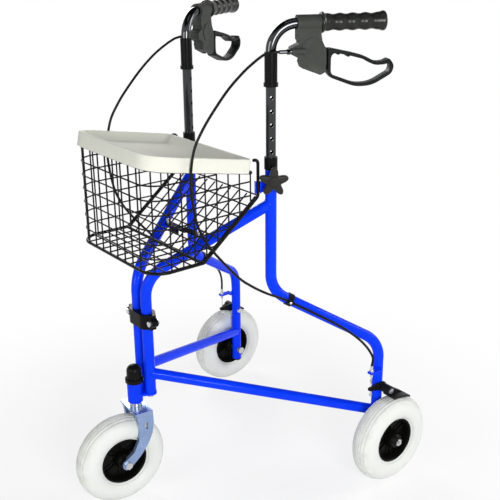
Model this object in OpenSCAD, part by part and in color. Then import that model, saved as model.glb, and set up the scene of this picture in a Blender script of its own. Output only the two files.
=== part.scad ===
// Three wheel rollator: two side frames hinged at a castor head, with sliding
// handles, loop brakes, a wire basket and a tray. Millimetres, +Z up, the user
// stands at +Y, the left side is +X. The origin lies on the floor, half way
// between the front and the rear axle.

/* [Side frames] */
// Angle between each side frame and the fore-and-aft plane
frame_half_angle = 29; // [22:0.5:33]
// Distance between the two hinge posts
hinge_spacing = 33; // [31:0.5:40]
// Outer diameter of the main frame tubes
tube_d = 22.2; // [20:0.1:24]
// Wall of the main frame tubes
tube_wall = 1.5; // [1.2:0.1:2]
// Outer diameter of the lower rail
rail_d = 22; // [16:0.5:22]
// Wall of the lower rail
rail_wall = 1.5; // [1:0.1:2]
// Hinge post to upright, along the side frame
upright_reach = 247; // [230:1:265]
// Hinge post to leg, along the side frame
leg_reach = 475; // [455:1:495]
// Height of the lower end of the hinge post
post_bottom_z = 234; // [231:0.5:238]
// Height where post and upper diagonal would cross
post_bend_z = 480; // [470:1:488]
// Bend radius of the front tube
front_bend_r = 70; // [50:1:75]
// Height where the upper diagonal meets the upright
junction_z = 617; // [608:1:622]
// Height of the top of the upright
upright_top_z = 690; // [686:0.5:694]
// Height where upright and rear diagonal would cross
upright_bend_z = 435; // [425:1:445]
// Height where rear diagonal and leg would cross
leg_bend_z = 304; // [298:1:315]
// Bend radius of the rear tube
rear_bend_r = 60; // [50:1:70]
// Height of the lower end of the leg
leg_bottom_z = 68; // [60:0.5:74]
// Height of the lower rail at the post
rail_front_z = 275; // [262:1:290]
// Height of the lower rail at the leg
rail_rear_z = 142; // [134:1:155]

/* [Wheels] */
// Outer diameter of every tyre
wheel_d = 190; // [180:1:196]
// Width of every tyre
tyre_w = 54; // [48:0.5:56]
// Diameter of the tyre's seat on the rim
rim_d = 98; // [92:0.5:104]
// Length of the wheel hub along the axle
hub_w = 50; // [46:0.5:52]
// Diameter of the hub barrel
hub_d = 36; // [32:0.5:40]
// Number of openings in the rim web
rim_openings = 6; // [4:1:7]
// Diameter of the axles
axle_d = 8; // [7:0.5:9]
// Outer diameter of the wheel bushes
bush_d = 18; // [15:0.5:20]
// Leg axis to wheel centre, along the axle
wheel_offset = 39.5; // [39:0.5:42]

/* [Castor head] */
// Hinge post line to castor stem
stem_lead = 27; // [25:0.5:30]
// Castor stem to front axle
castor_trail = 41; // [36:0.5:46]
// Castor heading at rest
castor_turn = -5; // [-10:1:10]
// Outer diameter of the castor housing
housing_d = 31; // [29:0.5:33]
// Wall of the castor housing
housing_wall = 2; // [1.5:0.1:2.5]
// Height of the lower end of the castor housing
housing_bottom_z = 214; // [212:0.5:217]
// Height of the upper end of the castor housing
housing_top_z = 262; // [258:0.5:266]
// Height of the top of the housing cap
cap_top_z = 296; // [290:0.5:302]
// Diameter of the castor stem
stem_d = 12; // [10:0.5:13]
// Thickness of the hinge plate
plate_t = 5; // [4:0.1:6]
// Diameter of the hinge bolts
hinge_bolt_d = 8; // [6:0.5:9]
// Thickness of the fork plate
fork_t = 4; // [3:0.1:5]
// Height of the top of the fork crown
fork_top_z = 203; // [201:0.5:206]
// Height of the bottom of the hinge clamp
clamp_z = 378; // [365:1:390]
// Height of the hinge clamp
clamp_h = 30; // [24:0.5:34]

/* [Handles] */
// Outer diameter of the handle tube
handle_d = 19.04; // [16:0.02:19.1]
// Wall of the handle tube
handle_wall = 1.4; // [1:0.1:2]
// Top of the upright up to the grip axis
handle_rise = 261; // [250:1:275]
// Handle heading, turned in from the side frame
handle_turn = 2.5; // [0:0.5:5]
// Bend radius of the handle tube
handle_bend_r = 48; // [40:1:50]
// Length of handle tube inside the upright
handle_insert = 85; // [70:1:110]
// Upright axis to the start of the grip
grip_start = 91.5; // [91.5:0.5:94]
// Length of the grip
grip_l = 122; // [110:1:130]
// Diameter of the grip
grip_d = 32; // [30:0.5:35]
// Pitch of the height holes
hole_pitch = 25.4; // [20:0.1:28]
// Diameter of the height holes
hole_d = 7; // [5:0.5:8]
// Number of height holes
hole_n = 7; // [3:1:7]
// Grip axis down to the top of the stop sleeve
sleeve_drop = 49; // [49:0.5:54]
// Share of the bare handle tube that the stop sleeve covers
sleeve_share = 0.32; // [0.2:0.01:0.32]
// Top of the upright down to the star knob
knob_drop = 22; // [20:0.5:26]
// Tip radius of the star knob
knob_r = 28.5; // [24:0.5:30]

/* [Brakes] */
// Width of the lever housing
brake_w = 22; // [20:0.5:24]
// Width of the lever loop
lever_w = 22; // [18:0.5:24]
// Thickness of the lever tab in the housing slot
lever_tab_t = 8; // [6:0.5:9]
// Diameter of the lever pin
lever_pin_d = 6; // [5:0.5:7]
// Diameter of the brake cable
cable_d = 5; // [4:0.1:5.5]
// Height of the brake pivot on the leg
brake_pivot_z = 205; // [204:0.5:207]
// Diameter of the brake pivot bolt
brake_bolt_d = 6; // [5:0.5:7]
// Running gap between brake pad and tyre
pad_gap = 2.5; // [2:0.1:3.5]
// Height of the cable stop lug on the leg
lug_z = 246; // [242:1:250]

/* [Folding brace] */
// Hinge post to brace ear, along the side frame
brace_reach = 112; // [108:1:116]
// Height of the underside of the lower brace link
brace_z = 548; // [547.5:0.1:548.4]
// Thickness of each brace link
link_t = 3; // [2:0.1:3.1]
// Width of each brace link
link_w = 16; // [14:0.5:17]

/* [Basket and tray] */
// Basket's sides in from the uprights
basket_in = 0.25; // [0:0.25:6]
// Basket front ahead of the hinge posts
basket_front = 53; // [45:1:60]
// Depth of the basket floor, front to back
basket_floor = 110; // [106:1:112]
// Height of the basket floor wires
basket_floor_z = 533; // [532.5:0.1:540]
// Basket's rear rods ahead of the uprights
rod_lead = 31; // [29:0.5:33]
// Height of the lower end of the rear rods
rod_low_z = 637; // [634:0.5:642]
// Height of the basket rim at its front
rim_front_z = 727; // [718:1:735]
// Height of the basket rim at its rear
rim_rear_z = 682; // [678:1:686]
// Radius of the basket's front corners
basket_corner_r = 40; // [30:1:46]
// Diameter of the border wires
border_d = 6; // [5:0.1:6.4]
// Thickness of the grille wires
wire_d = 3; // [2:0.1:3.4]
// Pitch of the grille wires
wire_pitch = 26; // [22:0.5:34]
// Taper of the tray's half width towards its front
tray_taper = 1; // [0:0.5:3]
// Rear of the tray ahead of the basket's rear rods
tray_short = 14; // [13:0.5:20]
// Height of the tray's skirt
tray_h = 22; // [20:0.5:26]
// Wall of the tray
tray_wall = 2.6; // [2:0.1:3.5]
// Width of the tray's top rim
tray_rim_w = 7; // [5:0.5:10]
// Depth of the tray's recess
tray_recess = 15; // [10:0.5:17]

/* [Hidden] */
$fn = 48;

frame_blue = [0.01, 0.10, 0.85];
chrome = [0.80, 0.81, 0.82];
steel = [0.66, 0.67, 0.68];
black_plastic = [0.06, 0.06, 0.065];
rubber_black = [0.035, 0.035, 0.04];
lever_grey = [0.13, 0.14, 0.15];
tyre_grey = [0.80, 0.81, 0.80];
tray_cream = [0.86, 0.86, 0.80];

grip_z = upright_top_z + handle_rise;
handle_low_z = upright_top_z - handle_insert;

// Clearances: running fit, seat of a pressed piece, weld seam, gap between bodies
run_fit = 0.05;
seat_fit = 0.02;
weld_gap = 0.05;
body_gap = 0.3;
cut = 1;

tube_r = tube_d / 2;
rail_r = rail_d / 2;
handle_r = handle_d / 2;
axle_r = axle_d / 2;
wheel_r = wheel_d / 2;
axle_z = wheel_r;
border_r = border_d / 2;
cable_r = cable_d / 2;

// The origin is half way between the axles
castor_reach = stem_lead + castor_trail * cos(castor_turn);
hinge_y = (castor_reach - leg_reach * cos(frame_half_angle)) / 2;
stem_y = hinge_y - stem_lead;

// Helpers

function unit(v) = v / norm(v);

// Signed turn of a flat path at b, coming from a and going to c
function turn(a, b, c) = atan2(cross(b - a, c - b), (b - a) * (c - b));

// Straight length that the bend at point i takes up on each side
function trim(path, bends, i) =
    i == 0 || i == len(path) - 1 ? 0
    : bends[i] * tan(abs(turn(path[i - 1], path[i], path[i + 1])) / 2);

// A flat path as steps: straight length, then turn and radius of the bend that follows
function steps_of(path, bends) = let (last = len(path) - 1) [
    for (i = [0 : last - 1]) [
        norm(path[i + 1] - path[i]) - trim(path, bends, i) - trim(path, bends, i + 1),
        i < last - 1 ? turn(path[i], path[i + 1], path[i + 2]) : 0,
        bends[i + 1]
    ]
];

// A flat path with its ends moved out by head and tail
function stretch(path, head, tail) = let (n = len(path) - 1) [
    for (i = [0 : n])
        i == 0 ? path[0] - unit(path[1] - path[0]) * head
        : i == n ? path[n] + unit(path[n] - path[n - 1]) * tail
        : path[i]
];

// Points of a polygon with each corner rounded to r
function rounded(points, r, steps = 5) = let (n = len(points)) [
    for (i = [0 : n - 1])
        let (a = points[(i + n - 1) % n], b = points[i], c = points[(i + 1) % n],
             phi = turn(a, b, c),
             reach = min(r * tan(abs(phi) / 2), 0.45 * norm(b - a), 0.45 * norm(c - b)),
             bend = reach / tan(abs(phi) / 2),
             first = b - unit(b - a) * reach,
             way = phi > 0 ? 1 : -1,
             u = unit(b - a),
             centre = first + way * bend * [-u.y, u.x],
             from = atan2(first.y - centre.y, first.x - centre.x))
        for (k = [0 : steps])
            centre + bend * [cos(from + phi * k / steps), sin(from + phi * k / steps)]
];

// A bend is this much fuller than the straights, which reach into it by the lap
bend_swell = 0.15;
bend_lap = 0.5;

// One bend of a rod from the origin, heading along Y, cut square at both ends
module bend(bend_r, angle, r) {
    way = sign(angle);
    translate([-way * bend_r, 0, 0])
        difference() {
            rotate([0, 0, angle > 0 ? -2 : 178 + angle])
                rotate_extrude(angle = abs(angle) + 4)
                    translate([bend_r, 0])
                        rotate(90)
                            circle(r = r + bend_swell);
            translate([way * bend_r - 2 * r, -bend_r, -2 * r])
                cube([4 * r, bend_r, 4 * r]);
            rotate([0, 0, angle])
                translate([way * bend_r - 2 * r, 0, -2 * r])
                    cube([4 * r, bend_r, 4 * r]);
        }
}

// The steps of a bent rod from step i on, heading along Y
module run(steps, r, i = 0) {
    straight = steps[i][0];
    angle = steps[i][1];
    bend_r = sign(angle) * steps[i][2];
    head = i > 0 ? bend_lap : 0;
    tail = angle != 0 ? bend_lap : 0;
    translate([0, -head, 0])
        rotate([-90, 0, 0])
            rotate([0, 0, -90])
                cylinder(r = r, h = head + straight + tail);
    if (angle != 0)
        translate([0, straight, 0]) {
            bend(steps[i][2], angle, r);
            translate([-bend_r, 0, 0])
                rotate([0, 0, angle])
                    translate([bend_r, 0, 0])
                        run(steps, r, i + 1);
        }
}

// Bent rod along a flat path in the XY plane
module pipe(path, bends, r) {
    u = path[1] - path[0];
    translate([path[0].x, path[0].y, 0])
        rotate([0, 0, atan2(u.y, u.x) - 90])
            run(steps_of(path, bends), r);
}

// A flat drawing in XY stood up: X becomes Y, and Y becomes Z
module stand() {
    rotate([90, 0, 90])
        children();
}

// A plate of thickness t drawn in (Y, Z), centred on x
module side_plate(x, t) {
    translate([x - t / 2, 0, 0])
        stand()
            linear_extrude(t)
                children();
}

// A round bar along X from x0 to x1
module bar_x(x0, x1, r, sides = 48) {
    translate([x0, 0, 0])
        rotate([0, 90, 0])
            cylinder(r = r, h = x1 - x0, $fn = sides);
}

// Side frame: X points outwards, Y along the frame from its hinge post
module on_frame(side) {
    mirror([side < 0 ? 1 : 0, 0, 0])
        translate([hinge_spacing / 2, hinge_y, 0])
            rotate([0, 0, -frame_half_angle])
                children();
}

// Leg of a side frame, with the axes turned square to the walker
module on_leg(side) {
    on_frame(side)
        translate([0, leg_reach, 0])
            rotate([0, 0, frame_half_angle])
                children();
}

// Handle: the upright axis is the origin, Y runs along the grip
module on_handle(side) {
    on_frame(side)
        translate([0, upright_reach, 0])
            rotate([0, 0, handle_turn])
                children();
}

// Castor: the stem axis is the origin, the axle lies towards -Y
module on_castor() {
    translate([0, stem_y, 0])
        rotate([0, 0, castor_turn])
            children();
}

module at_front_axle() {
    on_castor()
        translate([0, -castor_trail, axle_z])
            children();
}

module at_rear_axle(side) {
    on_leg(side)
        translate([wheel_offset, 0, axle_z])
            children();
}

// Castor head

hinge_plate_top = post_bottom_z - body_gap;
housing_r = housing_d / 2;
housing_bore_r = housing_r - housing_wall;
hinge_bolt_r = hinge_bolt_d / 2;
hinge_head_h = 6;
hinge_head_r = 7;
hinge_bolt_reach = 22;
plate_margin = 1;
post_x = hinge_spacing / 2;

module castor_housing() {
    color(frame_blue)
        difference() {
            union() {
                translate([0, stem_y, housing_bottom_z])
                    cylinder(r = housing_r, h = housing_top_z - housing_bottom_z);
                translate([0, 0, hinge_plate_top - plate_t])
                    linear_extrude(plate_t)
                        hinge_plate_outline();
            }
            translate([0, stem_y, housing_bottom_z - cut])
                cylinder(r = housing_bore_r, h = housing_top_z - housing_bottom_z + 2 * cut);
            for (x = [-post_x, post_x])
                translate([x, hinge_y, hinge_plate_top - plate_t - cut])
                    cylinder(r = hinge_bolt_r + run_fit, h = plate_t + 2 * cut);
        }
}

module hinge_plate_outline() {
    reach = post_x + tube_r + plate_margin;
    translate([0, stem_y])
        circle(r = housing_r);
    for (x = [-post_x, post_x])
        translate([x, hinge_y])
            circle(r = tube_r + plate_margin);
    polygon([
        [-reach, hinge_y], [-post_x, hinge_y + tube_r + plate_margin],
        [post_x, hinge_y + tube_r + plate_margin], [reach, hinge_y],
        [housing_r, stem_y], [-housing_r, stem_y]
    ]);
}

cap_ring_r = housing_r + 3;
cap_ring_h = 9;
cap_lap = 4;
cap_crown_r = 9;
cap_wall = 3;

module housing_cap() {
    low = housing_top_z - cap_lap;
    shoulder = low + cap_ring_h;
    inner = housing_r - 2 * cap_wall;
    color(black_plastic)
        translate([0, stem_y, 0])
            rotate_extrude()
                polygon([
                    [housing_r + seat_fit, low], [cap_ring_r, low], [cap_ring_r, shoulder],
                    [housing_r - 0.5, shoulder + 2], [housing_r - 1, cap_top_z - cap_crown_r],
                    [housing_r - 4, cap_top_z - 3], [cap_crown_r, cap_top_z], [0, cap_top_z],
                    [0, cap_top_z - cap_wall], [inner, cap_top_z - cap_crown_r],
                    [inner, housing_top_z + seat_fit], [housing_r + seat_fit, housing_top_z + seat_fit]
                ]);
}

clamp_wall = 6;
clamp_lug_x = post_x + 23;
clamp_lug_r = 9;
clamp_lug_t = 14;
clamp_split = 0.6;
clamp_bolt_r = 3;

// Two halves of a clamp that both posts turn in, with a lug at each end
module hinge_clamp() {
    color(black_plastic)
        for (half = [0, 180])
            translate([0, hinge_y, 0])
                rotate([0, 0, half])
                    difference() {
                        union() {
                            translate([0, 0, clamp_z])
                                linear_extrude(clamp_h)
                                    clamp_outline();
                            for (x = [-clamp_lug_x, clamp_lug_x])
                                translate([x, 0, clamp_z + clamp_h / 2])
                                    rotate([-90, 0, 0])
                                        cylinder(r = clamp_lug_r, h = clamp_lug_t / 2);
                        }
                        translate([-2 * clamp_lug_x, -2 * tube_d, clamp_z - cut])
                            cube([4 * clamp_lug_x, 2 * tube_d + clamp_split / 2, clamp_h + 2 * cut]);
                        for (x = [-post_x, post_x])
                            translate([x, 0, clamp_z - cut])
                                cylinder(r = tube_r + run_fit, h = clamp_h + 2 * cut);
                        for (x = [-clamp_lug_x, clamp_lug_x])
                            translate([x, 0, clamp_z + clamp_h / 2])
                                rotate([-90, 0, 0])
                                    cylinder(r = clamp_bolt_r + run_fit, h = clamp_lug_t);
                    }
}

module clamp_outline() {
    for (x = [-post_x, post_x])
        translate([x, 0])
            circle(r = tube_r + clamp_wall);
    translate([-post_x, 0])
        square([2 * post_x, tube_r + clamp_wall]);
    translate([-clamp_lug_x, 0])
        square([2 * clamp_lug_x, clamp_lug_t / 2]);
}

// Hinge bolts under the posts and the cross bolts of the clamp
module hinge_bolts() {
    color(steel) {
        for (x = [-post_x, post_x])
            translate([x, hinge_y, hinge_plate_top - plate_t - hinge_head_h]) {
                cylinder(r = hinge_head_r, h = hinge_head_h - seat_fit, $fn = 6);
                cylinder(r = hinge_bolt_r, h = hinge_head_h + plate_t + hinge_bolt_reach);
            }
        for (x = [-clamp_lug_x, clamp_lug_x])
            translate([x, hinge_y, clamp_z + clamp_h / 2])
                rotate([90, 0, 0]) {
                    translate([0, 0, -clamp_lug_t / 2 - 4])
                        cylinder(r = clamp_bolt_r, h = clamp_lug_t + 8);
                    for (z = [-clamp_lug_t / 2 - 4, clamp_lug_t / 2 + seat_fit])
                        translate([0, 0, z])
                            cylinder(r = 2 * clamp_bolt_r, h = 4 - seat_fit, $fn = 6);
                }
    }
}

bearing_h = 12;
stem_r = stem_d / 2;

module castor_bearings() {
    color(steel)
        for (z = [housing_bottom_z, housing_top_z - bearing_h])
            translate([0, stem_y, z])
                difference() {
                    cylinder(r = housing_bore_r - seat_fit, h = bearing_h);
                    translate([0, 0, -cut])
                        cylinder(r = stem_r + run_fit, h = bearing_h + 2 * cut);
                }
}

// Castor

fork_gap = tyre_w + 10;
fork_end_r = 11;
fork_slot_w = 6;
fork_lip_w = 5;
fork_lip_d = 4;
stem_nut_h = 8;
stem_nut_r = 9;

// One leg of the fork, drawn in (Y, Z) of the castor: it bows back and sweeps forward to the axle
module fork_leg_outline() {
    translate([-castor_trail, axle_z])
        circle(r = fork_end_r);
    polygon([
        [-18, fork_top_z], [20, fork_top_z], [21, fork_top_z - 28], [17, fork_top_z - 52],
        [6, fork_top_z - 75], [-12, fork_top_z - 97],
        [-castor_trail + 8.4, axle_z - 7.1], [-castor_trail - 8.4, axle_z + 7.1],
        [-25, axle_z + 24], [-14, axle_z + 46], [-10, axle_z + 70], [-13, axle_z + 94]
    ]);
}

// Front edge of a leg, above the axle, where the sheet is folded in
module fork_lip_outline() {
    difference() {
        fork_leg_outline();
        translate([fork_lip_w, 0])
            fork_leg_outline();
        translate([-2 * castor_trail, -axle_z])
            square([4 * castor_trail, 2 * axle_z + fork_end_r + 2]);
    }
}

module fork_slot() {
    for (z = [fork_top_z - 38, fork_top_z - 26])
        translate([4, z])
            circle(r = fork_slot_w / 2);
    translate([4 - fork_slot_w / 2, fork_top_z - 38])
        square([fork_slot_w, 12]);
}

module castor_fork() {
    color(chrome)
        on_castor()
            difference() {
                union() {
                    for (way = [-1, 1]) {
                        side_plate(way * (fork_gap + fork_t) / 2, fork_t)
                            fork_leg_outline();
                        side_plate(way * (fork_gap - fork_lip_d) / 2, fork_lip_d)
                            fork_lip_outline();
                    }
                    translate([-fork_gap / 2 - fork_t, -18, fork_top_z - fork_t])
                        cube([fork_gap + 2 * fork_t, 38, fork_t]);
                }
                translate([0, 0, fork_top_z - fork_t - cut])
                    cylinder(r = stem_r + seat_fit, h = fork_t + 2 * cut);
                translate([0, -castor_trail, axle_z])
                    bar_x(-fork_gap, fork_gap, axle_r + seat_fit);
                side_plate(0, 2 * fork_gap)
                    fork_slot();
            }
}

// Stem with its spacer under the housing and its nut under the cap
module castor_stem() {
    color(steel)
        on_castor() {
            translate([0, 0, fork_top_z - fork_t])
                cylinder(r = stem_r, h = housing_top_z + stem_nut_h - fork_top_z + fork_t);
            translate([0, 0, fork_top_z + seat_fit])
                cylinder(r = stem_r + 6, h = housing_bottom_z - fork_top_z - body_gap - seat_fit);
            translate([0, 0, housing_top_z + body_gap])
                cylinder(r = stem_nut_r, h = stem_nut_h - body_gap, $fn = 6);
        }
}

axle_nut_r = 8;
axle_nut_h = 6;
axle_collar_r = 7;

module front_axle() {
    outer = fork_gap / 2 + fork_t + axle_nut_h;
    color(steel)
        at_front_axle() {
            bar_x(-outer, outer, axle_r);
            for (way = [0, 180])
                rotate([0, 0, way]) {
                    bar_x(fork_gap / 2 + fork_t + seat_fit, outer, axle_nut_r, 6);
                    bar_x(hub_w / 2 + body_gap, fork_gap / 2 - seat_fit, axle_collar_r);
                }
        }
}

// Wheels, drawn about the X axis

module wheel_turn() {
    rotate([0, 90, 0])
        rotate_extrude($fn = 96)
            children();
}

rim_r = rim_d / 2;
rim_wall = 4;
rim_flange = 3;
rim_flange_t = 3;
rim_w = 40;
web_t = 8;
rim_skin = 3;

// Tyre section: a round tread over straight beads on the rim
module wheel_tyre() {
    section_r = tyre_w / 2;
    wheel_turn()
        intersection() {
            translate([wheel_r - section_r, 0])
                circle(r = section_r);
            translate([rim_r + seat_fit, -tyre_w])
                square([wheel_r, 2 * tyre_w]);
        }
}

module wheel_rim() {
    ring_mid = (rim_r - rim_wall + hub_d / 2) / 2;
    opening_r = (rim_r - rim_wall - hub_d / 2) / 2 - 1.5;
    difference() {
        wheel_turn() {
            translate([rim_r - rim_wall, -rim_w / 2])
                square([rim_wall, rim_w]);
            translate([bush_d / 2, -hub_w / 2])
                square([(hub_d - bush_d) / 2, hub_w]);
            translate([hub_d / 2 - 1, -web_t / 2])
                square([rim_r - rim_wall - hub_d / 2 + 2, web_t]);
        }
        for (k = [0 : rim_openings - 1])
            rotate([k * 360 / rim_openings, 0, 0])
                translate([0, 0, ring_mid]) {
                    bar_x(-web_t, -rim_skin / 2, opening_r);
                    bar_x(rim_skin / 2, web_t, opening_r);
                }
    }
}

module wheel_bushes() {
    bush_l = 12;
    for (x = [-hub_w / 2, hub_w / 2 - bush_l])
        difference() {
            bar_x(x, x + bush_l, bush_d / 2 - seat_fit);
            bar_x(x - cut, x + bush_l + cut, axle_r + run_fit);
        }
}

module front_tyre() { color(tyre_grey) at_front_axle() wheel_tyre(); }
module front_rim() { color(black_plastic) at_front_axle() wheel_rim(); }
module front_wheel_bushes() { color(steel) at_front_axle() wheel_bushes(); }

module rear_tyre(side) { color(tyre_grey) at_rear_axle(side) wheel_tyre(); }
module rear_rim(side) { color(black_plastic) at_rear_axle(side) wheel_rim(); }
module rear_bushes(side) { color(steel) at_rear_axle(side) wheel_bushes(); }

// Side frames

post_plug = 28;
front_path = [[0, post_bottom_z], [0, post_bend_z], [upright_reach, junction_z]];
front_bends = [0, front_bend_r, 0];
rear_path = [
    [upright_reach, upright_top_z], [upright_reach, upright_bend_z],
    [leg_reach, leg_bend_z], [leg_reach, leg_bottom_z]
];
rear_bends = [0, rear_bend_r, rear_bend_r, 0];
rail_path = [[0, rail_front_z], [leg_reach, rail_rear_z]];

// Post and upper diagonal; the post's lower end is plugged and bored for its hinge bolt
module front_tube(side) {
    color(frame_blue)
        on_frame(side)
            difference() {
                stand()
                    pipe(front_path, front_bends, tube_r);
                stand()
                    pipe(stretch(front_path, -post_plug, cut), front_bends, tube_r - tube_wall);
                translate([0, 0, post_bottom_z - cut])
                    cylinder(r = hinge_bolt_r + run_fit, h = post_plug + 2 * cut);
                translate([0, upright_reach, upright_bend_z])
                    cylinder(r = tube_r + weld_gap, h = upright_top_z - upright_bend_z);
            }
}

knob_z = upright_top_z - knob_drop;
knob_boss_r = 9;
knob_boss_x = tube_r + 6;
knob_screw_r = 4;

// Upright, rear diagonal and leg, with the weld nut of the star knob
module rear_tube(side) {
    color(frame_blue)
        on_frame(side)
            difference() {
                union() {
                    stand()
                        pipe(rear_path, rear_bends, tube_r);
                    translate([0, upright_reach, knob_z])
                        bar_x(0, knob_boss_x, knob_boss_r);
                }
                stand()
                    pipe(stretch(rear_path, cut, cut), rear_bends, tube_r - tube_wall);
                translate([0, upright_reach, knob_z])
                    bar_x(0, knob_boss_x + cut, knob_screw_r + run_fit);
                translate([0, leg_reach, 0])
                    rotate([0, 0, frame_half_angle]) {
                        translate([0, 0, axle_z])
                            bar_x(-tube_d, tube_d, axle_r + seat_fit);
                        translate([0, 0, brake_pivot_z])
                            bar_x(-tube_d, tube_d, brake_bolt_d / 2 + seat_fit);
                    }
            }
}

module lower_rail(side) {
    color(frame_blue)
        on_frame(side)
            difference() {
                stand()
                    pipe(rail_path, [0, 0], rail_r);
                stand()
                    pipe(stretch(rail_path, cut, cut), [0, 0], rail_r - rail_wall);
                for (y = [0, leg_reach])
                    translate([0, y, 0])
                        cylinder(r = tube_r + weld_gap, h = post_bend_z);
            }
}

collar_h = 18;
collar_lap = 5;
collar_wall = 1.6;
leg_plug_h = 14;
leg_plug_lip = 3;

// Collar on the upright and plug in the leg
module tube_caps(side) {
    color(black_plastic)
        on_frame(side) {
            translate([0, upright_reach, upright_top_z - collar_lap])
                difference() {
                    cylinder(r = tube_r + collar_wall, h = collar_h + collar_lap);
                    translate([0, 0, -cut])
                        cylinder(r = handle_r + run_fit, h = collar_h + collar_lap + 2 * cut);
                    translate([0, 0, -cut])
                        cylinder(r = tube_r + seat_fit, h = collar_lap + cut + seat_fit);
                }
            translate([0, leg_reach, leg_bottom_z - leg_plug_lip]) {
                cylinder(r = tube_r - tube_wall - seat_fit, h = leg_plug_lip + leg_plug_h);
                cylinder(r = tube_r, h = leg_plug_lip - seat_fit);
            }
        }
}

// Place of the basket's rear rod in the left side frame
rod_x = upright_reach * sin(frame_half_angle) - basket_in;
rod_y = upright_reach * cos(frame_half_angle) - rod_lead;
rod_along = rod_x * sin(frame_half_angle) + rod_y * cos(frame_half_angle);
rod_out = rod_x * cos(frame_half_angle) - rod_y * sin(frame_half_angle);
bracket_t = 2.5;
bracket_h = 22;
bracket_z = rod_low_z + 6;
bracket_room = border_r + 0.6;
bracket_leg = 9;
ear_reach = tube_r + 7;
ear_t = 3;
ear_z = brace_z - body_gap - ear_t;
ear_r = 7.8;
lug_reach = 33;
lug_x = tube_r + 3;
lug_w = 12;
lug_t = 4;
lower_adjuster_r = 3;

// Welded brackets: basket bracket, brace ear and cable stop lug
module brackets(side) {
    color(frame_blue) {
        on_frame(side)
            difference() {
                translate([0, 0, bracket_z]) {
                    back = rod_out - bracket_room - bracket_t;
                    translate([back, rod_along - bracket_room - bracket_t, 0])
                        cube([bracket_t, upright_reach - rod_along + bracket_room, bracket_h]);
                    for (y = [rod_along - bracket_room - bracket_t, rod_along + bracket_room])
                        translate([back, y, 0])
                            cube([bracket_leg, bracket_t, bracket_h]);
                }
                translate([0, upright_reach, bracket_z - cut])
                    cylinder(r = tube_r + weld_gap, h = bracket_h + 2 * cut);
                translate([0, upright_reach, knob_z])
                    bar_x(0, 2 * knob_boss_x, knob_boss_r + weld_gap);
            }
        on_frame(side)
            difference() {
                translate([0, brace_reach, ear_z]) {
                    translate([-ear_reach, 0, 0])
                        cylinder(r = ear_r, h = ear_t);
                    translate([-ear_reach, -ear_r, 0])
                        cube([ear_reach, 2 * ear_r, ear_t]);
                }
                stand()
                    pipe(front_path, front_bends, tube_r + weld_gap);
                translate([0, brace_reach, 0])
                    translate([0, -ear_r - cut, ear_z - cut])
                        cube([tube_d, 2 * ear_r + 2 * cut, ear_t + 2 * cut]);
                translate([-ear_reach, brace_reach, ear_z - cut])
                    cylinder(r = link_pin_r + seat_fit, h = ear_t + 2 * cut);
            }
        on_leg(side)
            difference() {
                translate([0, 0, lug_z]) {
                    translate([lug_x - lug_w / 2, -lug_reach - lug_w / 2, 0])
                        cube([lug_w, lug_reach - 2, lug_t]);
                    translate([0, -tube_r - lug_w / 2, 0])
                        cube([lug_x, tube_r + 2, lug_t]);
                }
                translate([0, 0, lug_z - cut])
                    cylinder(r = tube_r + weld_gap, h = lug_t + 2 * cut);
                translate([lug_x, -lug_reach, lug_z - cut])
                    cylinder(r = lower_adjuster_r + seat_fit, h = lug_t + 2 * cut);
            }
    }
}

arm_t = 4;
arm_hub_l = 26;
arm_hub_r = 9.5;
arm_x = tube_r + 1;
link_pin_r = 4;
link_gap = body_gap;
axle_cap_h = 9;
wire_r = 0.9;
wire_end_z = brake_pivot_z - 6;
nipple_r = 3;

// Height of the underside of a side's brace link; the left link lies on the right one
function link_z(side) = side > 0 ? brace_z + link_t + link_gap : brace_z;

// Axle bolt, brake pivot bolt, brace pin, lower cable adjuster and inner wire
module frame_bolts(side) {
    color(steel) {
        on_leg(side) {
            translate([0, 0, axle_z]) {
                outer = wheel_offset + hub_w / 2;
                bar_x(-tube_r - axle_cap_h, outer + axle_nut_h + 3, axle_r);
                bar_x(-tube_r - axle_cap_h, -tube_r - seat_fit, axle_nut_r);
                bar_x(tube_r + seat_fit, wheel_offset - hub_w / 2 - body_gap, axle_collar_r);
                bar_x(outer + body_gap, outer + axle_nut_h, axle_nut_r, 6);
            }
            translate([0, 0, brake_pivot_z]) {
                head = arm_x + arm_hub_l + body_gap;
                bar_x(-tube_r - 5, head + 4, brake_bolt_d / 2);
                bar_x(-tube_r - 5, -tube_r - seat_fit, brake_bolt_d, 6);
                bar_x(head, head + 4, brake_bolt_d, 6);
            }
            translate([lug_x, -lug_reach, 0]) {
                translate([0, 0, lug_z - 8])
                    cylinder(r = lower_adjuster_r, h = 26);
                translate([0, 0, lug_z + lug_t + seat_fit])
                    cylinder(r = lower_adjuster_r + 2.2, h = 5, $fn = 6);
                translate([0, 0, wire_end_z - 5])
                    cylinder(r = wire_r, h = lug_z - 8 - wire_end_z + 5);
                translate([0, 0, wire_end_z - 5])
                    cylinder(r = nipple_r, h = 5);
            }
        }
        on_frame(side)
            translate([-ear_reach, brace_reach, 0]) {
                top = link_z(side) + link_t + body_gap / 2;
                shoulder = link_z(side) - body_gap / 2;
                translate([0, 0, ear_z - 3])
                    cylinder(r = link_pin_r, h = top + 2 - ear_z + 3);
                translate([0, 0, ear_z - 3])
                    cylinder(r = 6.5, h = 3 - seat_fit, $fn = 6);
                translate([0, 0, top])
                    cylinder(r = 6.5, h = 2.2);
                if (shoulder > ear_z + ear_t + 1)
                    translate([0, 0, ear_z + ear_t + seat_fit])
                        cylinder(r = 6.5, h = shoulder - ear_z - ear_t - seat_fit);
            }
    }
}

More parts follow.
